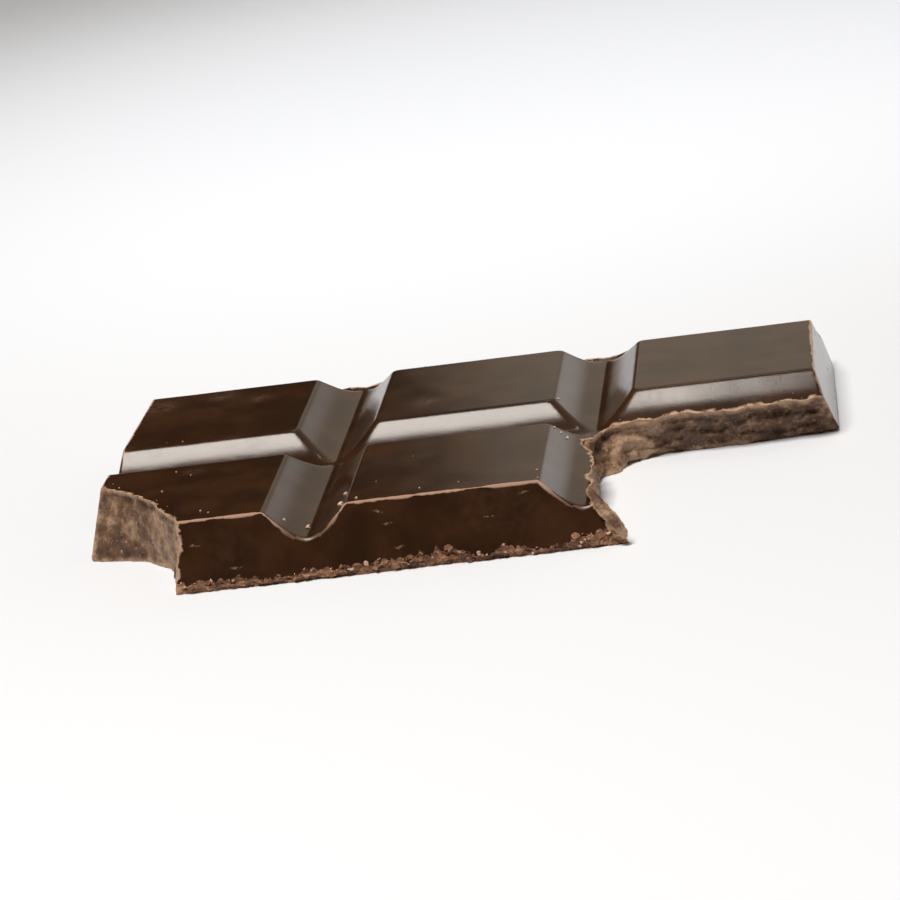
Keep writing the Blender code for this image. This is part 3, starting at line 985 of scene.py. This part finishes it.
@dataclass(frozen=True)
class SnappedDarkChocolate(Finish):
    """Dark chocolate where the bar was snapped.

    The snap runs between cocoa and sugar grains, so the face is matt and granular, paler than the
    moulded skin, with small tan specks where grains tore out.
    """

    name: str = "snapped_dark_chocolate"
    deep: str = "#38261a"
    face: str = "#644834"
    pale: str = "#a98a6f"
    speck: str = "#cfae8b"
    ior: float = 1.46
    roughness: float = 0.62
    grain: float = 0.4  # size of the grains, in millimetres
    patch: float = 1.6  # size of the darker and paler patches, in millimetres
    edge_width: float = 0.6  # how far from the skin the crumbled, paler edge reaches
    stretch: Triple = (1.0, 1.0, 1.0)  # scales of the patches' noise along each axis

    def shader(self, tree: bpy.types.NodeTree) -> bpy.types.Node:
        """Add the granular face with its specks.

        Args:
            tree: The material's node tree.

        Returns:
            The shader.
        """
        place = add_node(tree, "ShaderNodeTexCoord").outputs["Object"]
        spread = add_node(tree, "ShaderNodeMapping", {"Vector": place, "Scale": self.stretch})
        coarse = add_node(tree, "ShaderNodeTexNoise", {
            "Vector": spread, "Scale": PER_METRE / self.patch, "Detail": 5.0, "Roughness": 0.65})
        # Paler patches: partly the face's own tone, partly painted light on the corner break's shaded end
        pallor_and_painted_light = add_node(tree, "ShaderNodeAttribute", attribute_name="pallor_and_painted_light").outputs["Fac"]
        coarse = add_node(tree, "ShaderNodeMath", [pallor_and_painted_light, 0.21, coarse], operation="MULTIPLY_ADD")
        gap = add_node(tree, "ShaderNodeAttribute", attribute_name="break_gap").outputs["Fac"]
        crumbled = add_node(tree, "ShaderNodeMapRange", {
            0: gap, "From Min": self.edge_width, "From Max": 0.1, "To Max": 0.2})
        coarse = add_node(tree, "ShaderNodeMath", [coarse, crumbled])
        tone = add_node(tree, "ShaderNodeValToRGB", [coarse])
        stops = tone.color_ramp.elements
        stops[0].position, stops[0].color = 0.31, linear(self.deep)
        stops[1].position, stops[1].color = 0.74, linear(self.pale)
        stops.new(0.52).color = linear(self.face)
        grains = add_node(tree, "ShaderNodeTexVoronoi", {
            "Vector": place, "Scale": PER_METRE / self.grain}, feature="F1")
        specks = add_node(tree, "ShaderNodeTexNoise", {
            "Vector": place, "Scale": PER_METRE / 0.45, "Detail": 3.0})
        bright = add_node(tree, "ShaderNodeMapRange", {0: specks, "From Min": 0.64, "From Max": 0.74,
                                                       "To Max": 0.7})
        colour = add_node(tree, "ShaderNodeMix", {0: bright, 6: tone, 7: linear(self.speck)},
                          data_type="RGBA")
        bump = add_node(tree, "ShaderNodeBump", {
            "Strength": 0.8, "Distance": 0.00008, "Height": grains.outputs["Distance"]}, invert=True)
        finer = add_node(tree, "ShaderNodeTexNoise", {
            "Vector": place, "Scale": PER_METRE / 0.2, "Detail": 3.0, "Roughness": 0.6})
        bump = add_node(tree, "ShaderNodeBump", {
            "Strength": 0.7, "Distance": 0.00006, "Height": finer, "Normal": bump})
        return add_node(tree, "ShaderNodeBsdfPrincipled", {
            "Base Color": colour.outputs[2], "Roughness": self.roughness, "IOR": self.ior, "Normal": bump})


@dataclass(frozen=True)
class TornDarkChocolate(SnappedDarkChocolate):
    """Thin chocolate film that was pulled off, pale and pinkish tan where it stretched and flaked."""

    name: str = "torn_dark_chocolate"
    deep: str = "#351f12"
    face: str = "#875c41"
    pale: str = "#cc9f7b"
    speck: str = "#dab592"
    grain: float = 0.5
    patch: float = 0.9
    stretch: Triple = (0.4, 1.0, 1.8)


@dataclass(frozen=True)
class ScrapedDarkChocolate(Finish):
    """The open side of the mould, scraped level and left to set in air: flat, duller and streaked."""

    name: str = "scraped_dark_chocolate"
    body: str = "#38221b"
    bloom: str = "#4e392f"
    ior: float = 1.46
    roughness: float = 0.42
    dull_roughness: float = 0.58
    streak: float = 0.9  # distance between scraper streaks, in millimetres

    def shader(self, tree: bpy.types.NodeTree) -> bpy.types.Node:
        """Add the streaked, slightly bloomed back.

        Args:
            tree: The material's node tree.

        Returns:
            The shader.
        """
        place = add_node(tree, "ShaderNodeTexCoord").outputs["Object"]
        along = add_node(tree, "ShaderNodeMapping", {"Vector": place, "Scale": (0.06, 1.0, 1.0)})
        streaks = add_node(tree, "ShaderNodeTexNoise", {
            "Vector": along, "Scale": PER_METRE / self.streak, "Detail": 4.0, "Roughness": 0.6})
        patches = add_node(tree, "ShaderNodeTexNoise", {
            "Vector": place, "Scale": PER_METRE / 6.0, "Detail": 4.0, "Roughness": 0.6})
        share = add_node(tree, "ShaderNodeMapRange", {0: patches, "From Min": 0.4, "From Max": 0.75})
        colour = add_node(tree, "ShaderNodeMix", {0: share, 6: linear(self.body), 7: linear(self.bloom)},
                          data_type="RGBA")
        roughness = add_node(tree, "ShaderNodeMapRange", {
            0: streaks, "From Min": 0.3, "From Max": 0.7, "To Min": self.roughness,
            "To Max": self.dull_roughness})
        bump = add_node(tree, "ShaderNodeBump", {"Strength": 0.5, "Distance": 0.00004, "Height": streaks})
        return add_node(tree, "ShaderNodeBsdfPrincipled", {
            "Base Color": colour.outputs[2], "Roughness": roughness, "IOR": self.ior, "Normal": bump})


@dataclass(frozen=True)
class ChocolateCrumb(SnappedDarkChocolate):
    """Crumbs of the snap: matt, paler than the bar because they are all broken surface, and painted
    paler still to make up for their shading.
    """

    name: str = "dark_chocolate_crumb"
    # Pale tones: broken-surface colour, lifted further as painted light against the crumbs' shading
    deep: str = "#9a745c"
    face: str = "#d2aa8e"
    pale: str = "#e8cbb2"
    speck: str = "#f0dcc8"
    grain: float = 0.25


@dataclass(frozen=True)
class MattPaper(Finish):
    """White background paper: matt, and even all over."""

    name: str = "matt_white_paper"
    colour: str = "#e9eff8"
    roughness: float = 0.8

    def shader(self, tree: bpy.types.NodeTree) -> bpy.types.Node:
        """Add the plain paper."""
        return add_node(tree, "ShaderNodeBsdfPrincipled", {
            "Base Color": linear(self.colour), "Roughness": self.roughness})


@dataclass
class ChocolateBar:
    """The broken bar end itself.

    Attributes:
        mould: The shape it was cast in.
        breaks: The breaks through it.
        finishes: Its finishes, by surface.
        shift: Moves the mould's axes to the frame, in millimetres.
        rim_normal: How far the surface leans over along the rim of the outer wall.
        gap_limit: Longest distance that is kept to an edge.
        smudges: Places on the squares where fingers left a faint haze, and their radii.
        pale_and_lit_places: Places where the broken faces are painted paler, and their radii: partly
            their own tone, partly painted light on the corner break's end that turns away from the softbox.
    """

    mould: Mould
    breaks: Sequence[Fracture]
    finishes: dict[Surface, bpy.types.Material]
    shift: Vector
    rim_normal: Pair = (0.7, 0.84)
    gap_limit: float = 3.0
    smudges: tuple[Triple, ...] = (
        (-35.0, 19.0, 2.3), (-28.2, 20.7, 1.6), (-23.5, 18.0, 1.1), (-4.2, 8.8, 1.3), (-27.0, -6.5, 1.0))
    # Paler tone of the broken faces; the two places on the corner break paint light on its shaded end
    pale_and_lit_places: tuple[Triple, ...] = (
        (13.4, -9.0, 6.0), (17.5, 1.5, 3.0), (-29.7, -15.8, 2.6), (-27.2, -22.5, 3.4))

    def build(self) -> bpy.types.Object:
        """Cast the bar, break it and measure its edges.

        Returns:
            The bar, in millimetres on the mould's axes.
        """
        data = self.mould.cast(self.finishes[Surface.MOULDED])
        body = bmesh.new()
        body.from_mesh(data)
        bmesh.ops.recalc_face_normals(body, faces=body.faces)
        body.to_mesh(data)
        body.free()
        data.materials.clear()
        data.materials.append(self.finishes[Surface.MOULDED])
        rim = self.rim_places(data)
        blank = mesh_object("blank", data)
        surface = BVHTree.FromObject(blank, bpy.context.evaluated_depsgraph_get())
        cutters = [item.cutter(surface, self.mould.thickness, self.finishes[Surface.SNAPPED])
                   for item in self.breaks]
        cutters.append(TornEdge(self.mould.near_y, 1.0 / self.mould.draft).cutter(
            self.finishes[Surface.TORN]))
        cutters.append(ScrapedBack(self.mould.half_width, self.mould.near_y,
                                   self.mould.break_y + self.mould.spare).cutter(
            self.finishes[Surface.SCRAPED]))
        for cutter in cutters:
            cut = blank.modifiers.new(cutter.name, "BOOLEAN")
            cut.object = cutter
            cut.solver = "MANIFOLD"  # the dense, rough cutters are closed, and it stays exact on them
            cut.material_mode = "TRANSFER"
        done = bpy.data.meshes.new_from_object(
            blank.evaluated_get(bpy.context.evaluated_depsgraph_get()))
        for item in [blank, *cutters]:
            bpy.data.objects.remove(item)
        bar = mesh_object("dark_chocolate_bar", done)
        self.measure_edges(done, rim)
        return bar

    def rim_places(self, data: bpy.types.Mesh) -> list[Vector]:
        """Find where the moulded top turns over into the outer wall.

        Args:
            data: The unbroken bar.

        Returns:
            Places along that rim.
        """
        low, high = self.rim_normal
        reach = self.mould.wall_run + 0.4
        return [v.co.copy() for v in data.vertices
                if v.co.z > self.mould.slab - 0.2 and (
                    (v.co.y - self.mould.near_y < reach and low < -v.normal.y < high)
                    or (self.mould.half_width - abs(v.co.x) < reach and low < abs(v.normal.x) < high
                        and abs(v.normal.y) < low))]

    def measure_edges(self, data: bpy.types.Mesh, rim: list[Vector]) -> None:
        """Store each point's distance from a broken edge and from the outer rim, its lean and haze.

        Args:
            data: The broken bar.
            rim: Places along the rim.
        """
        count = len(data.vertices)
        slot_of_face = np.zeros(len(data.polygons), int)
        data.polygons.foreach_get("material_index", slot_of_face)
        sizes = np.zeros(len(data.polygons), int)
        data.polygons.foreach_get("loop_total", sizes)
        corners = np.zeros(len(data.loops), int)
        data.loops.foreach_get("vertex_index", corners)
        snapped = [k for k, m in enumerate(data.materials)
                   if m == self.finishes[Surface.SNAPPED]]
        broken = np.repeat(np.isin(slot_of_face, snapped), sizes)
        touches = np.zeros((2, count), bool)
        touches[0, corners[broken]] = True
        touches[1, corners[~broken]] = True
        places = [v.co for v in data.vertices]
        for name, marks in (("break_gap", [places[k] for k in np.flatnonzero(touches.all(0))]),
                            ("rim_gap", rim)):
            index = KDTree(len(marks))
            for k, mark in enumerate(marks):
                index.insert(mark, k)
            index.balance()
            gaps = [min(index.find(p)[2], self.gap_limit) for p in places]
            data.attributes.new(name, "FLOAT", "POINT").data.foreach_set("value", gaps)
        upright = [1.0 - ramp(v.normal.z, 0.35, 0.6) for v in data.vertices]
        data.attributes.new("upright", "FLOAT", "POINT").data.foreach_set("value", upright)
        for name, spots in (("smudge", self.smudges), ("pallor_and_painted_light", self.pale_and_lit_places)):
            shares = [sum(math.exp(-((p.x - x) ** 2 + (p.y - y) ** 2) / radius ** 2) for x, y, radius in spots)
                      for p in places]
            data.attributes.new(name, "FLOAT", "POINT").data.foreach_set("value", shares)

    def bit_shares(self, bar: bpy.types.Object) -> tuple[np.ndarray, np.ndarray]:
        """Work out where crumbs and flakes lie.

        Args:
            bar: The bar, in millimetres.

        Returns:
            For each point its share of crumbs, on level places beside a break, and of flakes, on the
            torn lower edge.
        """
        data = bar.data
        gaps, normals = np.zeros(len(data.vertices)), np.zeros(3 * len(data.vertices))
        data.attributes["break_gap"].data.foreach_get("value", gaps)
        data.vertices.foreach_get("normal", normals)
        level = np.clip(normals[2::3], 0.0, 1.0) ** 2
        torn = np.zeros(len(gaps))
        slot = list(data.materials).index(self.finishes[Surface.TORN])
        for face in data.polygons:
            if face.material_index == slot:
                for corner in face.vertices:
                    torn[corner] = ramp(data.vertices[corner].co.z, 0.3, 0.5)
        return level * (0.4 * np.exp(-gaps / 0.6) + 0.004), torn

    def finish(self, bar: bpy.types.Object) -> None:
        """Shade the bar and bring it to the frame's place and unit."""
        bar.data.shade_smooth()
        bar.data.set_sharp_from_angle(angle=math.radians(48))
        to_frame(bar, self.shift)


def to_frame(item: bpy.types.Object, shift: Vector) -> None:
    """Move a finished mesh from the mould's millimetres to the frame's metres.

    Args:
        item: Object at the origin.
        shift: The frame's place of the mould's origin, in millimetres.
    """
    item.data.transform(Matrix.Scale(MM, 4) @ Matrix.Translation(shift))
    item.data.update()


class BitShape(Enum):
    """The ways that a small bit can be broken."""

    GRAIN = "lumpy"
    FLAKE = "thin, with an angular outline"


@dataclass(frozen=True)
class Strewn:
    """Small broken bits that lie on the bar or stick to it.

    Attributes:
        name: Name of the piece.
        shape: How the bits are broken.
        density: Most bits for each square millimetre.
        radius: Smallest and largest radius of a bit.
        flatness: Thickness of a bit as a share of its length.
        tilt: How far a bit turns out of the surface it lies on, in radians.
        spin: How far it turns on that surface.
        placed: Bits with a place of their own: across, along and radius.
        shapes: Number of different shapes.
    """

    name: str
    shape: BitShape
    density: float
    radius: Pair
    flatness: float
    tilt: float
    spin: float = math.pi
    placed: tuple[Triple, ...] = ()
    shapes: int = 4

    def tree(self, material: bpy.types.Material) -> bpy.types.NodeTree:
        """Build the tree that strews bits over a mesh by its bit_share attribute.

        Args:
            material: The bits' finish.

        Returns:
            The tree.
        """
        tree, size = new_tree(self.name, {
            "Geometry": "NodeSocketGeometry", "Density": "NodeSocketFloat",
            "Least Radius": "NodeSocketFloat", "Largest Radius": "NodeSocketFloat",
            "Flatness": "NodeSocketFloat", "Tilt": "NodeSocketFloat", "Spin": "NodeSocketFloat",
            "Seed": "NodeSocketInt"})
        calc = partial(add_node, tree, "ShaderNodeMath")
        share = add_node(tree, "GeometryNodeInputNamedAttribute", ["bit_share"], data_type="FLOAT")
        own_radius = add_node(tree, "GeometryNodeInputNamedAttribute", ["bit_radius"], data_type="FLOAT")
        placed = calc([own_radius, 0.0], operation="GREATER_THAN")
        spots = add_node(tree, "GeometryNodeDistributePointsOnFaces", {
            "Mesh": size["Geometry"], "Seed": size["Seed"],
            "Density": calc([share, size["Density"]], operation="MULTIPLY")})
        given = add_node(tree, "GeometryNodeMeshToPoints", [size["Geometry"], placed])
        points = add_node(tree, "GeometryNodeJoinGeometry")
        for source in (given.outputs[0], spots.outputs["Points"]):
            tree.links.new(source, points.inputs[0])

        shapes = add_node(tree, "GeometryNodeJoinGeometry")
        here = add_node(tree, "GeometryNodeInputPosition")
        for k in range(self.shapes):
            if self.shape is BitShape.FLAKE:
                ball = add_node(tree, "GeometryNodeMeshCylinder", {
                    "Vertices": 5 + k, "Radius": 1.0, "Depth": 1.0})
            else:
                ball = add_node(tree, "GeometryNodeMeshIcoSphere", {"Radius": 1.0, "Subdivisions": 2})
            dents = add_node(tree, "ShaderNodeTexNoise", {
                "Vector": here, "W": 3.7 * k, "Scale": 0.9, "Detail": 1.0}, noise_dimensions="4D")
            move = add_node(tree, "ShaderNodeVectorMath", [dents.outputs["Color"], (0.5, 0.5, 0.5)],
                            operation="SUBTRACT")
            move = add_node(tree, "ShaderNodeVectorMath", {0: move, "Scale": 1.9}, operation="SCALE")
            lump = add_node(tree, "GeometryNodeSetPosition", [ball, None, None, move])
            thick = calc([size["Flatness"], 1.0 + 0.15 * k], operation="MULTIPLY")
            form = add_node(tree, "ShaderNodeCombineXYZ", [1.0, 0.35 + 0.14 * k, thick])
            lump = add_node(tree, "GeometryNodeTransform", {"Geometry": lump, "Scale": form})
            tree.links.new(add_node(tree, "GeometryNodeGeometryToInstance", [lump]).outputs[0],
                           shapes.inputs[0])
        most = add_node(tree, "ShaderNodeCombineXYZ", [size["Tilt"], size["Tilt"], size["Spin"]])
        least = add_node(tree, "ShaderNodeVectorMath", {0: most, "Scale": -1.0}, operation="SCALE")
        turn = add_node(tree, "FunctionNodeRandomValue", {0: least, 1: most, "Seed": 3},
                        data_type="FLOAT_VECTOR")
        lot = add_node(tree, "FunctionNodeRandomValue", {"Seed": 5}, data_type="FLOAT")
        small = calc([lot.outputs[1], 2.6], operation="POWER")
        drawn = add_node(tree, "ShaderNodeMapRange", {
            0: small, "To Min": size["Least Radius"], "To Max": size["Largest Radius"]})
        radius = add_node(tree, "ShaderNodeMix", {0: placed, 2: drawn, 3: own_radius}, data_type="FLOAT")
        bits = add_node(tree, "GeometryNodeInstanceOnPoints", {
            "Points": points, "Instance": shapes, "Pick Instance": True,
            "Rotation": spots.outputs["Rotation"], "Scale": radius})
        bits = add_node(tree, "GeometryNodeRotateInstances", {"Instances": bits, "Rotation": turn})
        solid = add_node(tree, "GeometryNodeRealizeInstances", [bits])
        solid = add_node(tree, "GeometryNodeSetMaterial", {"Geometry": solid, "Material": material})
        add_node(tree, "NodeGroupOutput", [solid])
        return tree

    def build(self, bar: bpy.types.Object, shares: np.ndarray, material: bpy.types.Material,
              seed: int) -> bpy.types.Object:
        """Strew the bits over the bar.

        Args:
            bar: The bar, in millimetres.
            shares: Share of the density at each of the bar's points.
            material: The bits' finish.
            seed: Seed of their places.

        Returns:
            The bits, in millimetres.
        """
        base = bar.data.copy()
        surface = BVHTree.FromObject(bar, bpy.context.evaluated_depsgraph_get())
        count = len(base.vertices)
        base.vertices.add(len(self.placed))
        radii = np.zeros(count + len(self.placed))
        for k, (x, y, radius) in enumerate(self.placed):
            hit = surface.ray_cast(Vector((x, y, 50.0)), Vector((0.0, 0.0, -1.0)))
            base.vertices[count + k].co = hit[0]
            radii[count + k] = radius
        base.attributes.new("bit_radius", "FLOAT", "POINT").data.foreach_set("value", radii)
        base.attributes.new("bit_share", "FLOAT", "POINT").data.foreach_set(
            "value", np.concatenate([shares, np.zeros(len(self.placed))]))
        data = run_tree(self.name, self.tree(material), {
            "Density": self.density, "Least Radius": self.radius[0], "Largest Radius": self.radius[1],
            "Flatness": self.flatness, "Tilt": self.tilt, "Spin": self.spin, "Seed": seed}, base)
        data.materials.clear()
        data.materials.append(material)
        return mesh_object(self.name, data)


@dataclass(frozen=True)
class Studio:
    """A white paper floor, a large soft light overhead and a long lens.

    Attributes:
        azimuth: Camera's bearing, to the right of the bar's moulded end, in degrees.
        elevation: Its height over the bar, in degrees.
        roll: How far the camera leans over, in degrees.
        distance: Lens to bar, in metres.
        lens: Focal length, in millimetres.
        aim: Where it looks, from the bar's centre, in metres.
        light: Linear colour of the softbox.
    """

    azimuth: float = 7.5
    elevation: float = 16.7
    roll: float = -8.9
    distance: float = 0.3415
    lens: float = 132.0
    aim: Triple = (-0.0018, 0.0, 0.0)
    light: Triple = (1.0, 0.935, 0.86)

    def floor(self, level: float, material: bpy.types.Material) -> bpy.types.Object:
        """Lay the paper.

        Args:
            level: Height of the floor.
            material: Its finish.

        Returns:
            The floor.
        """
        half = 4.0
        data = bpy.data.meshes.new("paper_floor")
        corners = [(-half, -half, level), (half, -half, level), (half, half, level), (-half, half, level)]
        data.from_pydata(corners, [], [(0, 1, 2, 3)])
        data.materials.append(material)
        return mesh_object("paper_floor", data)

    def camera(self, centre: Vector) -> None:
        """Set up the camera.

        Args:
            centre: The bar's centre.
        """
        azimuth, elevation = math.radians(self.azimuth), math.radians(self.elevation)
        back = Vector((math.sin(azimuth) * math.cos(elevation), -math.cos(azimuth) * math.cos(elevation),
                       math.sin(elevation)))
        data = bpy.data.cameras.new("camera")
        data.lens = self.lens
        data.sensor_width = 36.0
        data.clip_start = 0.01
        camera = bpy.data.objects.new("camera", data)
        bpy.context.scene.collection.objects.link(camera)
        turn = back.to_track_quat("Z", "Y").to_matrix() @ Matrix.Rotation(math.radians(self.roll), 3, "Z")
        camera.matrix_world = Matrix.Translation(
            centre + Vector(self.aim) + back * self.distance) @ turn.to_4x4()
        bpy.context.scene.camera = camera

    def softbox(self, name: str, place: Vector, target: Vector, size: Pair, watts: float) -> None:
        """Hang a softbox that the camera doesn't see.

        Args:
            name: Name of the light.
            place: Where it hangs.
            target: Where it points.
            size: Its width and depth.
            watts: Its power.
        """
        data = bpy.data.lights.new(name, "AREA")
        data.shape = "RECTANGLE"
        data.size, data.size_y = size
        data.energy = watts
        light = bpy.data.objects.new(name, data)
        back = (place - target).normalized()
        right = (Vector((1.0, 0.0, 0.0)) - back * back.x).normalized()
        turn = Matrix((right, back.cross(right), back)).transposed()
        light.matrix_world = Matrix.Translation(place) @ turn.to_4x4()
        data.color = self.light
        light.visible_camera = False
        bpy.context.scene.collection.objects.link(light)

    def paper_lamp(self, name: str, place: Vector, spread: float, watts: float) -> None:
        """Hang a soft lamp that shines straight down on the paper behind the bar.

        Args:
            name: Name of the light.
            place: Where it hangs.
            spread: Full angle of its cone, in degrees.
            watts: Its power.
        """
        data = bpy.data.lights.new(name, "SPOT")
        data.spot_size = math.radians(spread)
        data.spot_blend = 1.0
        data.shadow_soft_size = 0.05
        data.energy = watts
        light = bpy.data.objects.new(name, data)
        light.location = place
        bpy.context.scene.collection.objects.link(light)

    def surroundings(self) -> None:
        """Make the room: bright paper up to a low horizon, dim above it."""
        world = bpy.data.worlds.new("room")
        bpy.context.scene.world = world
        world.use_nodes = True
        tree = world.node_tree
        tree.nodes.clear()
        way = add_node(tree, "ShaderNodeSeparateXYZ", [
            add_node(tree, "ShaderNodeTexCoord").outputs["Generated"]])

        def step(value: Socket, start: float, end: float) -> bpy.types.Node:
            """Add a soft step from 0 to 1."""
            return add_node(tree, "ShaderNodeMapRange", {0: value, "From Min": start, "From Max": end},
                            interpolation_type="SMOOTHSTEP")

        def mix(share: bpy.types.Node, a: Any, b: Any) -> Socket:
            """Mix two colours."""
            return add_node(tree, "ShaderNodeMix", {0: share, 6: a, 7: b}, data_type="RGBA").outputs[2]

        # Behind the bar, dim walls stand on a bright horizon that reaches higher on the right. Their
        # right half is lit. The room in front is dark.
        x, y, z = way.outputs
        reach = add_node(tree, "ShaderNodeMath", [step(x, 0.04, 0.2), -0.1, z], operation="MULTIPLY_ADD")
        dark = (0.004, 0.003, 0.002, 1.0)
        horizon = mix(step(x, 0.21, 0.33), (0.46, 0.38, 0.31, 1.0), (1.28, 1.25, 1.22, 1.0))
        wall = mix(step(x, -0.14, -0.1), dark, (0.47, 0.41, 0.33, 1.0))
        back = mix(step(reach.outputs[0], 0.07, 0.13), horizon, wall)
        tone = mix(step(y, -0.2, 0.2), dark, back)
        sky = add_node(tree, "ShaderNodeBackground", {"Color": tone, "Strength": 1.0})
        add_node(tree, "ShaderNodeOutputWorld", [sky])

    def build(self, centre: Vector) -> None:
        """Set up camera, lights and room.

        Args:
            centre: The bar's centre.
        """
        self.camera(centre)
        self.softbox("softbox_above", centre + Vector((-0.115, -0.2, 0.55)), centre, (0.25, 0.2), 4.1)
        self.paper_lamp("paper_lamp", centre + Vector((0.0, 0.22, 0.5)), 49.0, 4.2)
        self.surroundings()
        bpy.context.scene.view_settings.view_transform = "Standard"


def main() -> None:
    """Build the bar, its crumbs and the studio."""
    logging.basicConfig(level=logging.INFO, format="%(name)s: %(message)s")
    low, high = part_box(NODE)
    mould = Mould.in_box(low, high)
    foot_y = mould.near_y + mould.back_radius / mould.draft
    shift = Vector(((low.x + high.x) / 2 / MM, low.y / MM - foot_y, low.z / MM))
    finishes = {
        Surface.MOULDED: MouldedDarkChocolate().material(),
        Surface.SNAPPED: SnappedDarkChocolate().material(),
        Surface.TORN: TornDarkChocolate().material(),
        Surface.SCRAPED: ScrapedDarkChocolate().material(),
    }
    side, near, far = mould.half_width + 5, mould.near_y - 5, mould.break_y + mould.spare + 5
    breaks = (
        Fracture("corner", (
            ((-40.4, -6.2), (-40.4, -9.3)), ((-36.0, -8.6), (-37.4, -10.9)),
            ((-31.4, -13.1), (-32.8, -12.5)), ((-28.8, -17.2), (-29.2, -16.0)),
            ((-26.9, -21.0), (-27.8, -19.9)), ((-26.2, -23.2), (-27.2, -23.7)),
            ((-26.0, -27.0), (-27.3, -27.0))), ((-26.0, near), (-side, near)), 7.6, lip=0.2, rough=0.6,
            ledge=0.06),
        Fracture("square", (
            ((12.2, -27.5), (17.6, -27.5)), ((12.2, -24.4), (17.4, -24.4)), ((12.9, -21.5), (15.7, -21.5)),
            ((13.3, -18.6), (14.3, -18.6)), ((13.2, -15.0), (13.8, -15.0)), ((12.9, -11.0), (13.5, -11.0)),
            ((12.4, -6.5), (13.2, -6.5)), ((11.9, -2.4), (13.2, -4.2)), ((13.6, 0.6), (15.4, -0.8)),
            ((19.2, 0.9), (18.9, 2.8)), ((24.2, 0.6), (24.2, 3.5)), ((29.7, 0.4), (29.7, 4.0)),
            ((34.7, 0.3), (34.7, 4.1)), ((43.0, 0.5), (43.0, 3.6))),
            ((side, near), (14.8, near)), 5.6, lip=0.4, rough=1.2, ledge=0.3),
        Fracture("far", (
            ((43.0, 27.2), (43.0, 26.8)), ((33.0, 27.7), (33.0, 27.2)), ((24.0, 27.3), (24.0, 28.4)),
            ((16.0, 27.9), (16.0, 27.8)), ((8.0, 27.8), (8.0, 26.9)), ((0.0, 27.0), (0.0, 27.6)),
            ((-9.0, 27.5), (-9.0, 28.3)), ((-17.0, 27.8), (-17.0, 27.4)), ((-25.0, 27.2), (-25.0, 26.6)),
            ((-34.0, 27.9), (-34.0, 27.3)), ((-43.0, 27.4), (-43.0, 28.2))),
            ((-side, far), (side, far)), 5.6, spacing=0.2),
    )
    bar_maker = ChocolateBar(mould, breaks, finishes, shift)
    bar = bar_maker.build()
    # The crumb finish is painted paler to make up for shading; the torn edge's specks wear it too
    crumb = ChocolateCrumb().material()
    near_break, torn = bar_maker.bit_shares(bar)
    crumbs = Strewn("crumbs", BitShape.GRAIN, 0.8, (0.05, 0.13), 0.6, 0.5, placed=CRUMBS).build(
        bar, near_break, crumb, 11)
    flakes = Strewn("torn_flakes", BitShape.FLAKE, 5.0, (0.1, 0.42), 0.16, 0.5, 0.5).build(
        bar, torn, finishes[Surface.TORN], 4)
    specks = Strewn("torn_specks", BitShape.FLAKE, 2.2, (0.06, 0.3), 0.25, 0.6, 0.7).build(
        bar, torn, crumb, 8)
    sliver = Sliver().build(finishes[Surface.SNAPPED])
    bar_maker.finish(bar)
    for piece in (crumbs, flakes, specks, sliver):
        to_frame(piece, shift)
    for piece in (bar, crumbs, flakes, specks, sliver):
        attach(piece, BODY)
        piece.data.calc_loop_triangles()
        LOG.info("%s: %d triangles", piece.name, len(piece.data.loop_triangles))
    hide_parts(NODE)

    studio = Studio()
    floor = studio.floor(low.z, MattPaper().material())
    studio.build((low + high) / 2)


if __name__ == "__main__":
    main()
